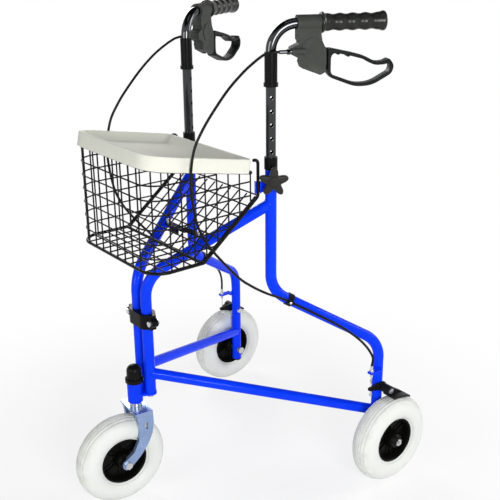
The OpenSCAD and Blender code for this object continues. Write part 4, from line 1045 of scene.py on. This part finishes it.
@dataclass
class Handle:
    """One handle's grip and brake lever."""

    side: Side
    grip_start: float = 91.5
    grip_l: float = 122.0
    grip_r: float = 16.0
    bore_r: float = 9.54
    end_t: float = 4.0
    vent_r: float = 1.0
    waves: int = 4
    wave_h: float = 2.0
    wave_ends: Pair = (12.0, 14.0)
    ripple_h: float = 0.05
    ripple: float = 2.4
    flange: Points = ((0, 1.8), (0.4, 2.6), (1.4, 3.0), (3.0, 3.0), (4.2, 2.5), (6.0, 0.6), (8.0, 0))
    flare: Points = ((10, 0.6), (6, 2.0), (3, 1.9), (1.2, 0.8), (0.3, -0.8), (0, -2.6))
    lever_w: float = 22.0
    lever_edge: float = 2.2
    lever_start: Pair = (104.0, -60.0)
    throat_r: float = 11.0
    tab_t: float = 8.0
    tab_edge: float = 0.6
    tab: Points = ((73.5, -32.5), (107, -46), (107, -86), (90, -76), (73.5, -56.5), (61.5, -44.5))
    tab_soft: tuple[float, ...] = (8.0, 2.0, 2.0, 4.0, 8.0, 10.0)
    ribs: Points = ((124.0, -55.2), (143.0, -59.4))
    rib_shape: Points = ((-3.5, 2.0), (3.5, 0.6), (2.0, -2.6), (-2.0, -2.2))
    rib_soft: tuple[float, ...] = (0.5, 0.5, 1.6, 1.6)
    rib_inset: float = 2.0
    rib_edge: float = 0.5
    lever_soft: tuple[float, ...] = (6, 90, 60, 40, 30, 9, 14, 18, 60, 60, 14, 6)
    lever_outer: Points = (
        (104, -44), (150, -54.5), (174, -61), (195, -72.5), (212, -72), (222, -66.5),
        (232, -80), (227.5, -95), (189, -116), (156.5, -116.5), (111, -99), (104, -91))
    lever_inner: Points = (
        (110, -52), (150, -61), (172, -67), (193, -79), (214, -78), (222, -75),
        (225, -82), (222, -91), (187, -110), (158, -110.5), (114, -94), (110, -88))

    def build(self) -> None:
        """Make the grip and the lever."""
        self.grip()
        self.lever()

    def grip(self) -> None:
        """Turn the grip with its flange, finger waves and flared end."""
        first, last = self.wave_ends[0], self.grip_l - self.wave_ends[1]
        along = np.linspace(first, last, 97)
        turn = 2 * math.pi * self.waves * (along - first) / (last - first)
        wave = (1 - np.cos(turn)) / 2
        fine = self.ripple_h * np.cos(2 * math.pi * along / self.ripple) * wave
        body = list(zip(along, self.grip_r - self.wave_h * wave + fine))
        end = self.grip_l
        start = [(0, self.bore_r), *((x, self.grip_r + rise) for x, rise in self.flange)]
        stop = [*((end - x, self.grip_r + rise) for x, rise in self.flare), (end, self.vent_r),
                (end - self.end_t, self.vent_r), (end - self.end_t, self.bore_r)]
        ridge = np.concatenate([np.ones(len(start)), 1 - wave, np.ones(len(stop))])
        word = self.side.word
        shell = Shell(word + "_grip_dressed")
        shell.lathe(start + body + stop, sides=72, joined=True, ridge=ridge)
        place = (LAYOUT.on_handle(self.side) @ Matrix.Translation((0, self.grip_start, LAYOUT.grip_z))
                 @ Matrix.Rotation(math.pi / 2, 4, "Z"))
        settle(shell.build(GRIP, place, sharp=40.0), word + "_handle", GRIP, word + "_grip")

    def lever(self) -> None:
        """Make the closed loop lever with rounded edges, its tab on the pin and its finger ribs."""
        count, start, soft = 160, np.array(self.lever_start), self.lever_soft
        outer = even(rounded(self.lever_outer, soft), count, start)
        throat = (self.throat_r, *soft[1:-1], self.throat_r)
        inner = even(rounded(self.lever_inner, throat), count, start)
        half, word = self.lever_w / 2, self.side.word
        shell = Shell(word + "_brake_lever_dressed")
        shell.slab(outer, -half, half, self.lever_edge, inner, steps=4)
        shell.slab(rounded(self.tab, self.tab_soft), -self.tab_t / 2, self.tab_t / 2, self.tab_edge)
        for y, z in self.ribs:
            rib = rounded([(y + dy, z + dz) for dy, dz in self.rib_shape], self.rib_soft)
            shell.slab(rib, self.rib_inset - half, half - self.rib_inset, self.rib_edge, steps=2)
        place = LAYOUT.on_handle(self.side) @ Matrix.Translation((0, 0, LAYOUT.grip_z))
        settle(shell.build(LEVER, place, sharp=40.0), word + "_lever", LEVER, word + "_brake_lever")


@dataclass
class StarKnob:
    """The five-armed knob that clamps a handle at its height."""

    side: Side
    centre_z: float = 668.0
    arms: int = 5
    arm_r: float = 28.5
    waist_r: float = 14.5
    lean: float = math.radians(15.0)
    low: float = 25.1
    high: float = 36.1
    edge: float = 3.0
    hub_cap: Points = ((-1, 11.5), (1.8, 11.0), (2.8, 10.2), (3.0, 9.4), (2.6, 8.6), (1.4, 8.2),
                       (1.4, 3.4), (2.2, 2.8))
    neck_from: float = 17.4
    neck_r: float = 10.0
    screw_from: float = 10.32
    screw_r: float = 4.0
    root_r: float = 3.55
    half_pitch: float = 0.5

    def build(self) -> None:
        """Make the star with rounded arms, its hub cap, neck and screw."""
        turn = np.linspace(0.0, 2 * math.pi, 180, endpoint=False)
        wave = (1 + np.cos(self.arms * turn)) / 2
        reach = self.waist_r + (self.arm_r - self.waist_r) * wave
        spot = turn + self.lean
        word = self.side.word
        shell = Shell(word + "_star_knob_dressed")
        outline = np.column_stack([reach * np.cos(spot), reach * np.sin(spot)])
        shell.slab(outline, self.low, self.high, self.edge, steps=4)
        shell.lathe([(self.high + rise, radius) for rise, radius in self.hub_cap], sides=40)
        shell.lathe([(self.neck_from, self.neck_r), (self.low + 1, self.neck_r)], sides=40)
        on_upright = Matrix.Translation((0, LAYOUT.upright_reach, self.centre_z))
        place = LAYOUT.on_frame(self.side) @ on_upright
        settle(shell.build(KNOB, place, sharp=40.0), word + "_knob", KNOB, word + "_star_knob")
        screw = Shell(word + "_knob_screw")
        threads = np.arange(self.screw_from, self.neck_from + self.half_pitch, self.half_pitch)
        radii = (self.root_r, self.screw_r)
        screw.lathe([(x, radii[i % 2]) for i, x in enumerate(threads)], sides=32)
        settle(screw.build(STEEL, place, sharp=60.0), word + "_knob", STEEL, word + "_star_knob")


@dataclass
class BrakeCable:
    """One brake cable, from the lever's adjuster down to the lug on the leg."""

    side: Side
    radius: float = 2.5
    route: tuple[Triple, ...] = (
        (155.8, 45.6, 903), (149.7, 33.3, 903), (147, 18, 900.1), (147, -6.5, 888),
        (147, -33.2, 871), (146.5, -65.9, 843.8), (147, -102.6, 805), (147.1, -122.9, 778.8),
        (147, -136.2, 756), (147, -144.8, 723.9), (147.4, -147.8, 681.2), (148, -139, 623),
        (149, -125, 587.1), (151, -100, 550.2), (150, -49.9, 492.9), (151, -17.9, 465.8),
        (156.8, 12.9, 444.9), (159.5, 47.9, 425.7), (163.6, 61.4, 417.7), (170.3, 73.6, 409.8),
        (192.3, 111.3, 385), (222, 158.1, 352), (246, 192.1, 317.9), (260.9, 208.6, 286.3),
        (260.9, 208.6, 264.3))
    side_x: float = 0.15
    fixed_z: float = 430.0
    carried_z: float = 870.0

    def build(self) -> None:
        """Sweep the sheath."""
        path = smooth_curve(np.array(self.route, float), steps=9)
        word = self.side.word
        shell = Shell(word + "_brake_cable_dressed")
        shell.tube(path, self.radius, sides=16)
        piece = shell.build(CABLE, self.side.mirror, sharp=60.0)
        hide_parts(word + "_brake_cable")
        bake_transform(piece)
        length = np.linalg.norm(np.diff(path, axis=0), axis=1).sum()
        log.info("%s: %.0f mm long", piece.name, length)


@dataclass
class Basket:
    """The basket's wires, which stand for its five grilles."""

    half_w: float = 136.0
    front: float = 53.0
    floor: float = 110.0
    floor_z: float = 533.0
    rod_y: float = 185.03
    rod_low_z: float = 637.0
    rim_front_z: float = 727.0
    rim_rear_z: float = 682.0
    corner_r: float = 40.0
    border_r: float = 3.0
    wire_r: float = 1.5
    pitch: float = 26.0
    rod_room: float = 18.0
    rim_gap: float = 4.0
    side_gap: float = 6.0
    cross_lift: float = 2.4
    back_lift: float = 1.5

    @property
    def slope(self) -> float:
        """Fall of the rim from front to rear, as a tangent."""
        return (self.rim_front_z - self.rim_rear_z) / (self.front + self.rod_y)

    def rim_z(self, y: float) -> float:
        """Height of the rim wire's axis at y."""
        return self.rim_front_z - (y + self.front) * self.slope

    @property
    def floor_back(self) -> float:
        """Where the floor ends at the back."""
        return self.floor - self.front

    @property
    def back_slope(self) -> float:
        """Rise of the sloping back, as a tangent."""
        return (self.rod_low_z - self.floor_z) / (self.rod_y - self.floor_back)

    def back_z(self, y: float) -> float:
        """Height of the sloping back's plane at y."""
        return self.floor_z + (y - self.floor_back) * self.back_slope

    def corner_inset(self, past: float) -> float:
        """How far a rounded corner draws in, so far past its start."""
        return self.corner_r - math.sqrt(max(0.0, self.corner_r ** 2 - max(0.0, past) ** 2))

    def count(self, length: float) -> int:
        """How many wires stand over a length at about the pitch."""
        return round(length / self.pitch) + 1

    def hoop(self, z: float) -> np.ndarray:
        """One level wire round the front, from the left side's rear to the right's.

        Args:
            z: Height of the wire.

        Returns:
            Points of the wire.
        """
        rear = self.rod_y - self.rod_room
        if z > self.rim_z(rear) - self.rim_gap:
            rear = (self.rim_front_z - z - self.rim_gap) / self.slope - self.front
        if z < self.rod_low_z:
            rear = min(rear, self.floor_back + (z - self.floor_z) / self.back_slope - 3)
        w, r, front = self.half_w, self.corner_r, -self.front
        turn = np.linspace(0.0, math.pi / 2, 13)
        right = [(w - r + r * math.cos(t), front + r - r * math.sin(t), z) for t in turn]
        left = [(-x, y, z) for x, y, z in reversed(right)]
        return np.array([(w, rear, z), *right, *left, (-w, rear, z)])

    def posts(self) -> list[np.ndarray]:
        """Standing wires of the front, the corners and the two sides.

        Returns:
            Points of each wire.
        """
        low, flat = self.floor_z + 1.0, self.half_w - self.corner_r
        feet = [(x, -self.front, low) for x in np.linspace(-flat, flat, self.count(2 * flat))]
        mid = self.corner_r * math.sqrt(0.5)
        first, last = self.corner_r - self.front, self.rod_y - self.rod_room
        for way in (-1, 1):
            feet.append((way * (flat + mid), first - mid, low))
            for y in np.linspace(first, last, self.count(last - first)):
                feet.append((way * self.half_w, y, max(low, self.back_z(y) + self.back_lift)))
        return [np.array([(x, y, z), (x, y, self.rim_z(y) - 1)]) for x, y, z in feet]

    def floor_wires(self) -> list[np.ndarray]:
        """Wires of the floor and of the sloping back, bent where these meet.

        Returns:
            Points of each wire.
        """
        lines, w, back, z = [], self.half_w, self.floor_back, self.floor_z
        side = w - self.side_gap
        for x in np.linspace(-side, side, self.count(2 * side)):
            front = self.corner_inset(abs(x) - w + self.corner_r) - self.front
            lines.append([(x, front + 1, z), (x, back - 1, z), (x, back + 2, z + 2),
                          (x, self.rod_y - 2, self.rod_low_z - 1)])
        crossing = []
        for y in np.linspace(-self.front, back, self.count(self.floor))[1:-1]:
            inset = self.corner_inset(self.corner_r - self.front - y)
            crossing.append((w - inset - 1, y, z + self.cross_lift))
        rise = math.hypot(self.rod_y - back, self.rod_low_z - z)
        for part in np.linspace(0.0, 1.0, self.count(rise))[1:]:
            y = back + part * (self.rod_y - back)
            crossing.append((w - 2, y, self.back_z(y) + self.back_lift))
        lines += [[(-reach, y, level), (reach, y, level)] for reach, y, level in crossing]
        return [np.array(line) for line in lines]

    def build(self, wires: NodeKit) -> None:
        """Run the wires along their lines.

        Args:
            wires: Tree that makes round wires.
        """
        top = self.rim_front_z - self.rim_gap
        levels = np.linspace(self.floor_z, top, self.count(top - self.floor_z))[1:-1]
        lines = [self.hoop(z) for z in levels] + self.posts() + self.floor_wires()
        guide = guide_lines("basket_lines", lines, LAYOUT.at_basket())
        sizes = {"Wire radius": self.wire_r * MM, "Sides": 10}
        piece = wires.run("basket_wires", guide, sizes, WIRE)
        grilles = ("front", "left", "right", "back", "base")
        settle(piece, "basket", WIRE, *(f"basket_{part}_grille" for part in grilles))


@dataclass
class ServingTray:
    """The tray: a skirt over the basket rim, a rounded rim and walls that slope to a sunk floor."""

    basket: Basket
    wall: float = 2.6
    length: float = 224.0
    height: float = 22.0
    rim_w: float = 7.0
    recess: float = 15.0
    slope_w: float = 20.0
    rear_r: float = 10.0
    front_more: float = 4.0
    front_least: float = 12.0
    gap: float = 0.4
    skirt_out: float = 3.6
    skirt_in: float = 1.9
    skirt_drop: float = 4.6

    def outline(self, inset: float) -> np.ndarray:
        """The outline drawn in by an inset, always with as many points; the rear grows less.

        Args:
            inset: How far it is drawn in; less than 0 is outwards.

        Returns:
            Points of the outline.
        """
        half = self.basket.half_w + self.wall / 2 - inset
        front_r = max(self.basket.corner_r + self.front_more - inset, self.front_least)
        rear_r = max(self.rear_r - inset, 4.0 + 0.3 * inset)
        rear = self.length - max(inset, 0.2 * inset)
        corners = [(half, inset), (half, rear), (-half, rear), (-half, inset)]
        return rounded(corners, [front_r, rear_r, rear_r, front_r], steps=10)

    def build(self) -> None:
        """Loft the tray from rings of its outline, each an inset and a height."""
        floor, top, rim = self.height - self.recess, self.height, self.rim_w
        out, low, skirt = -self.skirt_out, -self.skirt_drop, -self.skirt_in
        far, under = rim + self.slope_w, floor - self.wall
        upper = [(skirt, low), (out + 0.4, low), (out, low + 0.6), (out + 0.8, top - 2.6),
                 (out + 1.3, top - 0.9), (out + 2.4, top), (rim - 1.4, top), (rim, top - 0.5),
                 (rim + 1.0, top - 1.6), (far - 3, floor + 1.6), (far, floor + 0.3), (far + 3, floor),
                 (far + 30, floor), (far + 60, floor)]
        lower = [(far + 60, under), (far + 2, under), (rim + 2, top - self.wall - 2), (1.0, top - 4),
                 (skirt + 0.8, top - 6), upper[0]]
        shell = Shell("tray_dressed")
        for rings, middle in ((upper, -1), (lower, 0)):
            flats = [(self.outline(inset), z) for inset, z in rings]
            loops = np.array([np.column_stack([flat, np.full(len(flat), z)]) for flat, z in flats])
            first, (rows, count) = len(shell.points), loops.shape[:2]
            shell.rows(loops)
            start = first + middle % rows * count
            shell.faces.append([start + j for j in range(count)])
        angle = math.atan(self.basket.slope)
        front = -(self.basket.front + self.wall / 2) / math.cos(angle)
        place = (LAYOUT.at_basket() @ Matrix.Translation((0, 0, self.basket.rim_z(0.0)))
                 @ Matrix.Rotation(-angle, 4, "X")
                 @ Matrix.Translation((0, front, self.basket.border_r + self.gap)))
        settle(shell.build(TRAY, place, sharp=30.0), "tray", TRAY, "tray")


@dataclass
class WeldBeads:
    """Weld beads where the tubes of a side frame meet."""

    side: Side
    bead_r: float = 1.5
    rail_z: Pair = (275.0, 142.0)
    strut_z: Pair = (480.0, 617.0)
    strut_less: float = 0.4

    def collar(self, axis_y: float, post_r: float, start: Sequence[float], way: Sequence[float],
               rod_r: float) -> np.ndarray:
        """The closed curve where a rod meets an upright post.

        Args:
            axis_y: Place of the post's axis along the frame.
            post_r: Radius of the post.
            start: A point (y, z) on the rod's axis.
            way: Direction (y, z) of the rod, away from the post.
            rod_r: Radius of the rod.

        Returns:
            Points of the curve on the side frame's axes.
        """
        y_way, z_way = np.array(way) / np.linalg.norm(way)
        out = []
        for t in np.linspace(0.0, 2 * math.pi, 49):
            x = rod_r * math.cos(t)
            lift = rod_r * math.sin(t)
            y = axis_y + math.copysign(math.sqrt(post_r ** 2 - x ** 2), y_way)
            step = (y + lift * z_way - start[0]) / y_way
            out.append((x, y, start[1] + step * z_way + lift * y_way))
        return np.array(out)

    def build(self, wires: NodeKit) -> None:
        """Run a bead round both ends of the rail and the upper end of the front tube.

        Args:
            wires: Tree that makes round wires.
        """
        tube, rail, word = LAYOUT.tube_r, LAYOUT.rail_r, self.side.word
        leg, upright = LAYOUT.leg_reach, LAYOUT.upright_reach
        front, rear = self.rail_z
        low, high = self.strut_z
        lines = [
            self.collar(0.0, tube, (0.0, front), (leg, rear - front), rail),
            self.collar(leg, tube, (leg, rear), (-leg, front - rear), rail),
            self.collar(upright, tube, (upright, high), (-upright, low - high), tube - self.strut_less),
        ]
        guide = guide_lines("weld_lines", lines, LAYOUT.on_frame(self.side))
        sizes = {"Wire radius": self.bead_r * MM, "Sides": 8}
        piece = wires.run(word + "_weld_beads", guide, sizes, BLUE)
        settle(piece, word + "_frame", BLUE)


@dataclass
class Hardware:
    """Small pieces: brace nuts, rivets, edges of the brace links and the castor housing's cap."""

    brace_at: Pair = (54.97, -67.06)
    ear_top: Pair = (556.65, 553.35)
    nut: Pair = (6.5, 7.0)
    clip_at: Triple = (19.0, 284.0, 413.7)
    clip_rivet: Pair = (2.8, 1.8)
    link_top: float = 556.3
    brace_rivet: Pair = (5.0, 4.5)
    link_w: float = 16.0
    edge_t: float = 2.0
    edge_clear: float = 12.0
    edge_z: Points = ((554.0, 562.0), (540.0, 548.3))
    cap_low: float = 258.0
    cap_top: float = 296.0
    cap_r: float = 18.5
    cap_bore_r: float = 15.6
    dome_r: float = 15.0
    dome_flat: float = 0.9
    hollow_z: float = 262.1
    tip_r: float = 0.6

    def dome(self, name: str, body: str, place: Matrix, size: Pair) -> None:
        """A domed head of a radius and a height that stands along X of its place.

        Args:
            name: Name of the piece.
            body: Body that it rides on.
            place: Where it stands.
            size: Its radius and height.
        """
        radius, height = size
        profile = [(0.0, radius)]
        for t in np.linspace(0.0, 1.3, 7):
            profile.append((height * (0.45 + 0.55 * math.sin(t)), radius * math.cos(t)))
        shell = Shell(name)
        shell.lathe(profile, sides=28)
        settle(shell.build(STEEL, place, sharp=50.0), body, STEEL)

    def build(self) -> None:
        """Make all of them."""
        upright = Matrix.Rotation(-math.pi / 2, 4, "Y")
        x, y = self.brace_at
        for side, top in zip(Side, self.ear_top):
            word = side.word
            on_ear = Matrix.Translation((side.value * x, y, top)) @ upright
            self.dome(word + "_brace_nut", word + "_frame", on_ear, self.nut)
            on_clip = LAYOUT.on_frame(side) @ Matrix.Translation(self.clip_at)
            self.dome(word + "_clip_rivet", word + "_frame", on_clip, self.clip_rivet)
        on_links = Matrix.Translation((0.0, y, self.link_top)) @ upright
        self.dome("brace_rivet_cap", "left_brace", on_links, self.brace_rivet)
        for side, (low, high) in zip(Side, self.edge_z):
            self.link_edge(side, low, high)
        self.cap(upright)

    def link_edge(self, side: Side, low: float, high: float) -> None:
        """The turned edge along the front of a brace link, between its two pins.

        Args:
            side: Side of the link.
            low: Lower end of the edge.
            high: Upper end of the edge.
        """
        reach, y = self.brace_at
        front = y - self.link_w / 2
        inside = front + self.edge_t
        fold = np.array([(front, low), (inside, low), (inside, high), (front, high)])
        shell = Shell(side.word + "_link_edge")
        shell.slab(fold, self.edge_clear, reach - self.edge_clear, edge=0.6)
        settle(shell.build(BRAKE, side.mirror, sharp=40.0), side.word + "_brace", BRAKE)

    def cap(self, upright: Matrix) -> None:
        """The castor housing's cap: a ring with a round dome on it, hollow underneath.

        Args:
            upright: Turn that stands the X axis up.
        """
        low, top, wide, dome = self.cap_low, self.cap_top, self.cap_r, self.dome_r
        rise = self.dome_flat * dome
        crown = top - rise
        profile = [(low, self.cap_bore_r), (low, wide - 0.6), (low + 0.6, wide), (low + 8.0, wide),
                   (low + 9.2, wide - 1.2), (low + 10.0, dome + 0.4), (low + 11.0, dome)]
        for t in np.linspace(0.0, math.pi / 2, 12):
            profile.append((crown + rise * math.sin(t), max(dome * math.cos(t), self.tip_r)))
        profile += [(top - 3.0, self.tip_r), (crown, 9.0), (self.hollow_z, 9.5),
                    (self.hollow_z, self.cap_bore_r)]
        shell = Shell("housing_cap_dressed")
        shell.lathe(profile, sides=56, joined=True)
        place = Matrix.Translation((0, LAYOUT.hinge_y - LAYOUT.stem_lead, 0)) @ upright
        settle(shell.build(BLACK, place, sharp=40.0), "head", BLACK, "housing_cap")


class Fittings:
    """The CAD nodes whose shape is right, each with its finish."""

    FINISHES: dict[str, Finish] = {
        "castor_housing": BLUE, "hinge_clamp": BLACK, "hinge_bolts": STEEL, "castor_bearings": STEEL,
        "castor_fork": FORK_BLUE_REFLECTION, "castor_stem": STEEL, "front_axle": STEEL, "front_tube": BLUE,
        "rear_tube": BLUE, "lower_rail": BLUE, "tube_caps": BLACK, "brackets": BLUE,
        "frame_bolts": STEEL, "cable_clip": BLACK, "wheel_bushes": BLACK, "handle_tube": CHROME_DARK_REFLECTION,
        "stop_sleeve": BLACK, "lever_housing": HOUSING, "lever_pin": HOUSING,
        "cable_adjuster": CHROME_DARK_REFLECTION, "brake_arm": BRAKE, "brace_link": BRAKE, "basket_rim": WIRE,
    }

    def dress(self) -> None:
        """Give each node that is shown its material."""
        for name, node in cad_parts.items():
            finish = next((f for part, f in self.FINISHES.items() if name.endswith(part)), None)
            if finish is None:
                continue
            node.data.materials.clear()
            node.data.materials.append(finish.material())
            log.info("%s: %s", name, finish.name)


# Studio


@dataclass
class Camera:
    """The photograph's viewpoint."""

    place: Triple = (1.3737, -0.9688, 1.1185)
    yaw: float = math.radians(52.21)
    pitch: float = math.radians(20.48)
    roll: float = math.radians(-0.51)
    lens: float = 62.95
    sensor: float = 36.0

    def build(self) -> None:
        """Make the camera and look through it."""
        level = Vector((math.cos(self.yaw), math.sin(self.yaw), 0.0))
        forth = Vector((-math.sin(self.yaw), math.cos(self.yaw), 0.0))
        ahead = math.cos(self.pitch) * forth - Vector((0.0, 0.0, math.sin(self.pitch)))
        above = level.cross(ahead)
        right = math.cos(self.roll) * level + math.sin(self.roll) * above
        up = math.cos(self.roll) * above - math.sin(self.roll) * level
        data = bpy.data.cameras.new("camera")
        data.lens, data.sensor_width, data.sensor_fit = self.lens, self.sensor, "HORIZONTAL"
        camera = bpy.data.objects.new("camera", data)
        turn = Matrix((right, up, -ahead)).transposed().to_4x4()
        camera.matrix_world = Matrix.Translation(self.place) @ turn
        bpy.context.scene.collection.objects.link(camera)
        bpy.context.scene.camera = camera


@dataclass(frozen=True)
class Lamp:
    """A square soft lamp."""

    name: str
    place: Triple
    size: float
    power: float

    def build(self, middle: Vector) -> None:
        """Make the lamp and turn it to the object.

        Args:
            middle: Point that the lamp looks at.
        """
        data = bpy.data.lights.new(self.name, "AREA")
        data.size, data.energy = self.size, self.power
        lamp = bpy.data.objects.new(self.name, data)
        aim = middle - Vector(self.place)
        turn = aim.to_track_quat("-Z", "Y").to_matrix().to_4x4()
        lamp.matrix_world = Matrix.Translation(self.place) @ turn
        bpy.context.scene.collection.objects.link(lamp)


@dataclass
class Studio:
    """A white backdrop under a dark ceiling, with lamps round the camera."""

    middle: Triple = (0.0, 0.0, 0.45)
    ambient: float = 0.24
    overhead: float = 0.03
    ceiling: float = 0.05
    floor_r: float = 9.0
    floor_grey: float = 0.92
    shadow_reach: Pair = (0.35, 1.0)
    shadow_lift: float = 0.75
    lamps: tuple[Lamp, ...] = (
        Lamp("key", (2.4, -0.8, 1.15), 0.9, 46.0), Lamp("fill", (0.2, -2.6, 1.1), 1.0, 22.0),
        Lamp("top", (0.6, -0.2, 2.8), 1.0, 2.0), Lamp("side", (1.2, 2.0, 1.4), 1.0, 24.0),
        Lamp("back", (-1.9, 0.6, 1.5), 1.0, 22.0))

    def build(self) -> None:
        """Make the surroundings, floor and lamps."""
        bpy.context.scene.view_settings.view_transform = "Standard"
        self.world()
        self.floor()
        for lamp in self.lamps:
            lamp.build(Vector(self.middle))

    def seen(self, graph: Graph) -> Value:
        """1 for rays that see the background itself, also in metal and glass.

        Args:
            graph: Graph that the mask goes to.

        Returns:
            The mask.
        """
        path = graph.node("ShaderNodeLightPath", None, None, "Is Camera Ray")
        seen = path + path.also("Is Glossy Ray") + path.also("Is Transmission Ray")
        return seen > 0.5

    def world(self) -> None:
        """White walls under a dark ceiling to the eye and in metal; soft and dimmer as a light."""
        world = bpy.data.worlds.new("studio")
        world.use_nodes = True
        graph = Graph(world.node_tree)
        way = graph.node("ShaderNodeTexCoord", None, None, "Generated")
        height = graph.node("ShaderNodeSeparateXYZ", None, {0: way}, "Z")
        level = self.ambient - height.between(0.1, 0.8) * (self.ambient - self.overhead)
        wall = 1.0 - height.between(0.45, 0.7) * (1.0 - self.ceiling)
        soft, white = (graph.node("ShaderNodeBackground", None, {"Color": WHITE, "Strength": strength})
                       for strength in (level, wall))
        mixed = graph.mix(self.seen(graph), soft, white)
        graph.node("ShaderNodeOutputWorld", None, {"Surface": mixed})
        bpy.context.scene.world = world

    def floor(self) -> None:
        """A pale floor with the shadow near the object and white further out."""
        mesh = bpy.data.meshes.new("floor")
        work = bmesh.new()
        bmesh.ops.create_circle(work, cap_ends=True, radius=self.floor_r, segments=64)
        work.to_mesh(mesh)
        work.free()
        floor = bpy.data.objects.new("floor", mesh)
        material = bpy.data.materials.new("pale_floor")
        material.use_nodes = True
        graph = Graph(material.node_tree)
        where = graph.node("ShaderNodeTexCoord", None, None, "Object")
        reach = graph.node("ShaderNodeVectorMath", {"operation": "LENGTH"}, {0: where}, "Value")
        far = reach.between(*self.shadow_reach)
        matt = graph.node("ShaderNodeBsdfDiffuse", None, {"Color": (*[self.floor_grey] * 3, 1.0)})
        bright = graph.node("ShaderNodeEmission", None, {"Color": WHITE, "Strength": 1.0})
        lift = self.shadow_lift + (1.0 - self.shadow_lift) * far
        mixed = graph.mix(lift * self.seen(graph), matt, bright)
        graph.node("ShaderNodeOutputMaterial", None, {"Surface": mixed})
        mesh.materials.append(material)
        bpy.context.scene.collection.objects.link(floor)


def main() -> None:
    """Build the camera, the sub-assemblies and the studio in order."""
    logging.basicConfig(level=logging.INFO, format="%(name)s: %(message)s")
    Camera().build()
    wires, repeat = wire_kit(), ring_kit()
    for side in Side:
        BrakeCable(side).build()
    Fittings().dress()
    Wheel("front", "front_wheel", LAYOUT.at_front_axle()).build(repeat)
    for side in Side:
        Wheel(side.word, side.word + "_wheel", LAYOUT.at_rear_axle(side)).build(repeat)
        Handle(side).build()
        StarKnob(side).build()
        WeldBeads(side).build(wires)
    basket = Basket()
    basket.build(wires)
    ServingTray(basket).build()
    Hardware().build()
    Studio().build()


if __name__ == "__main__":
    main()
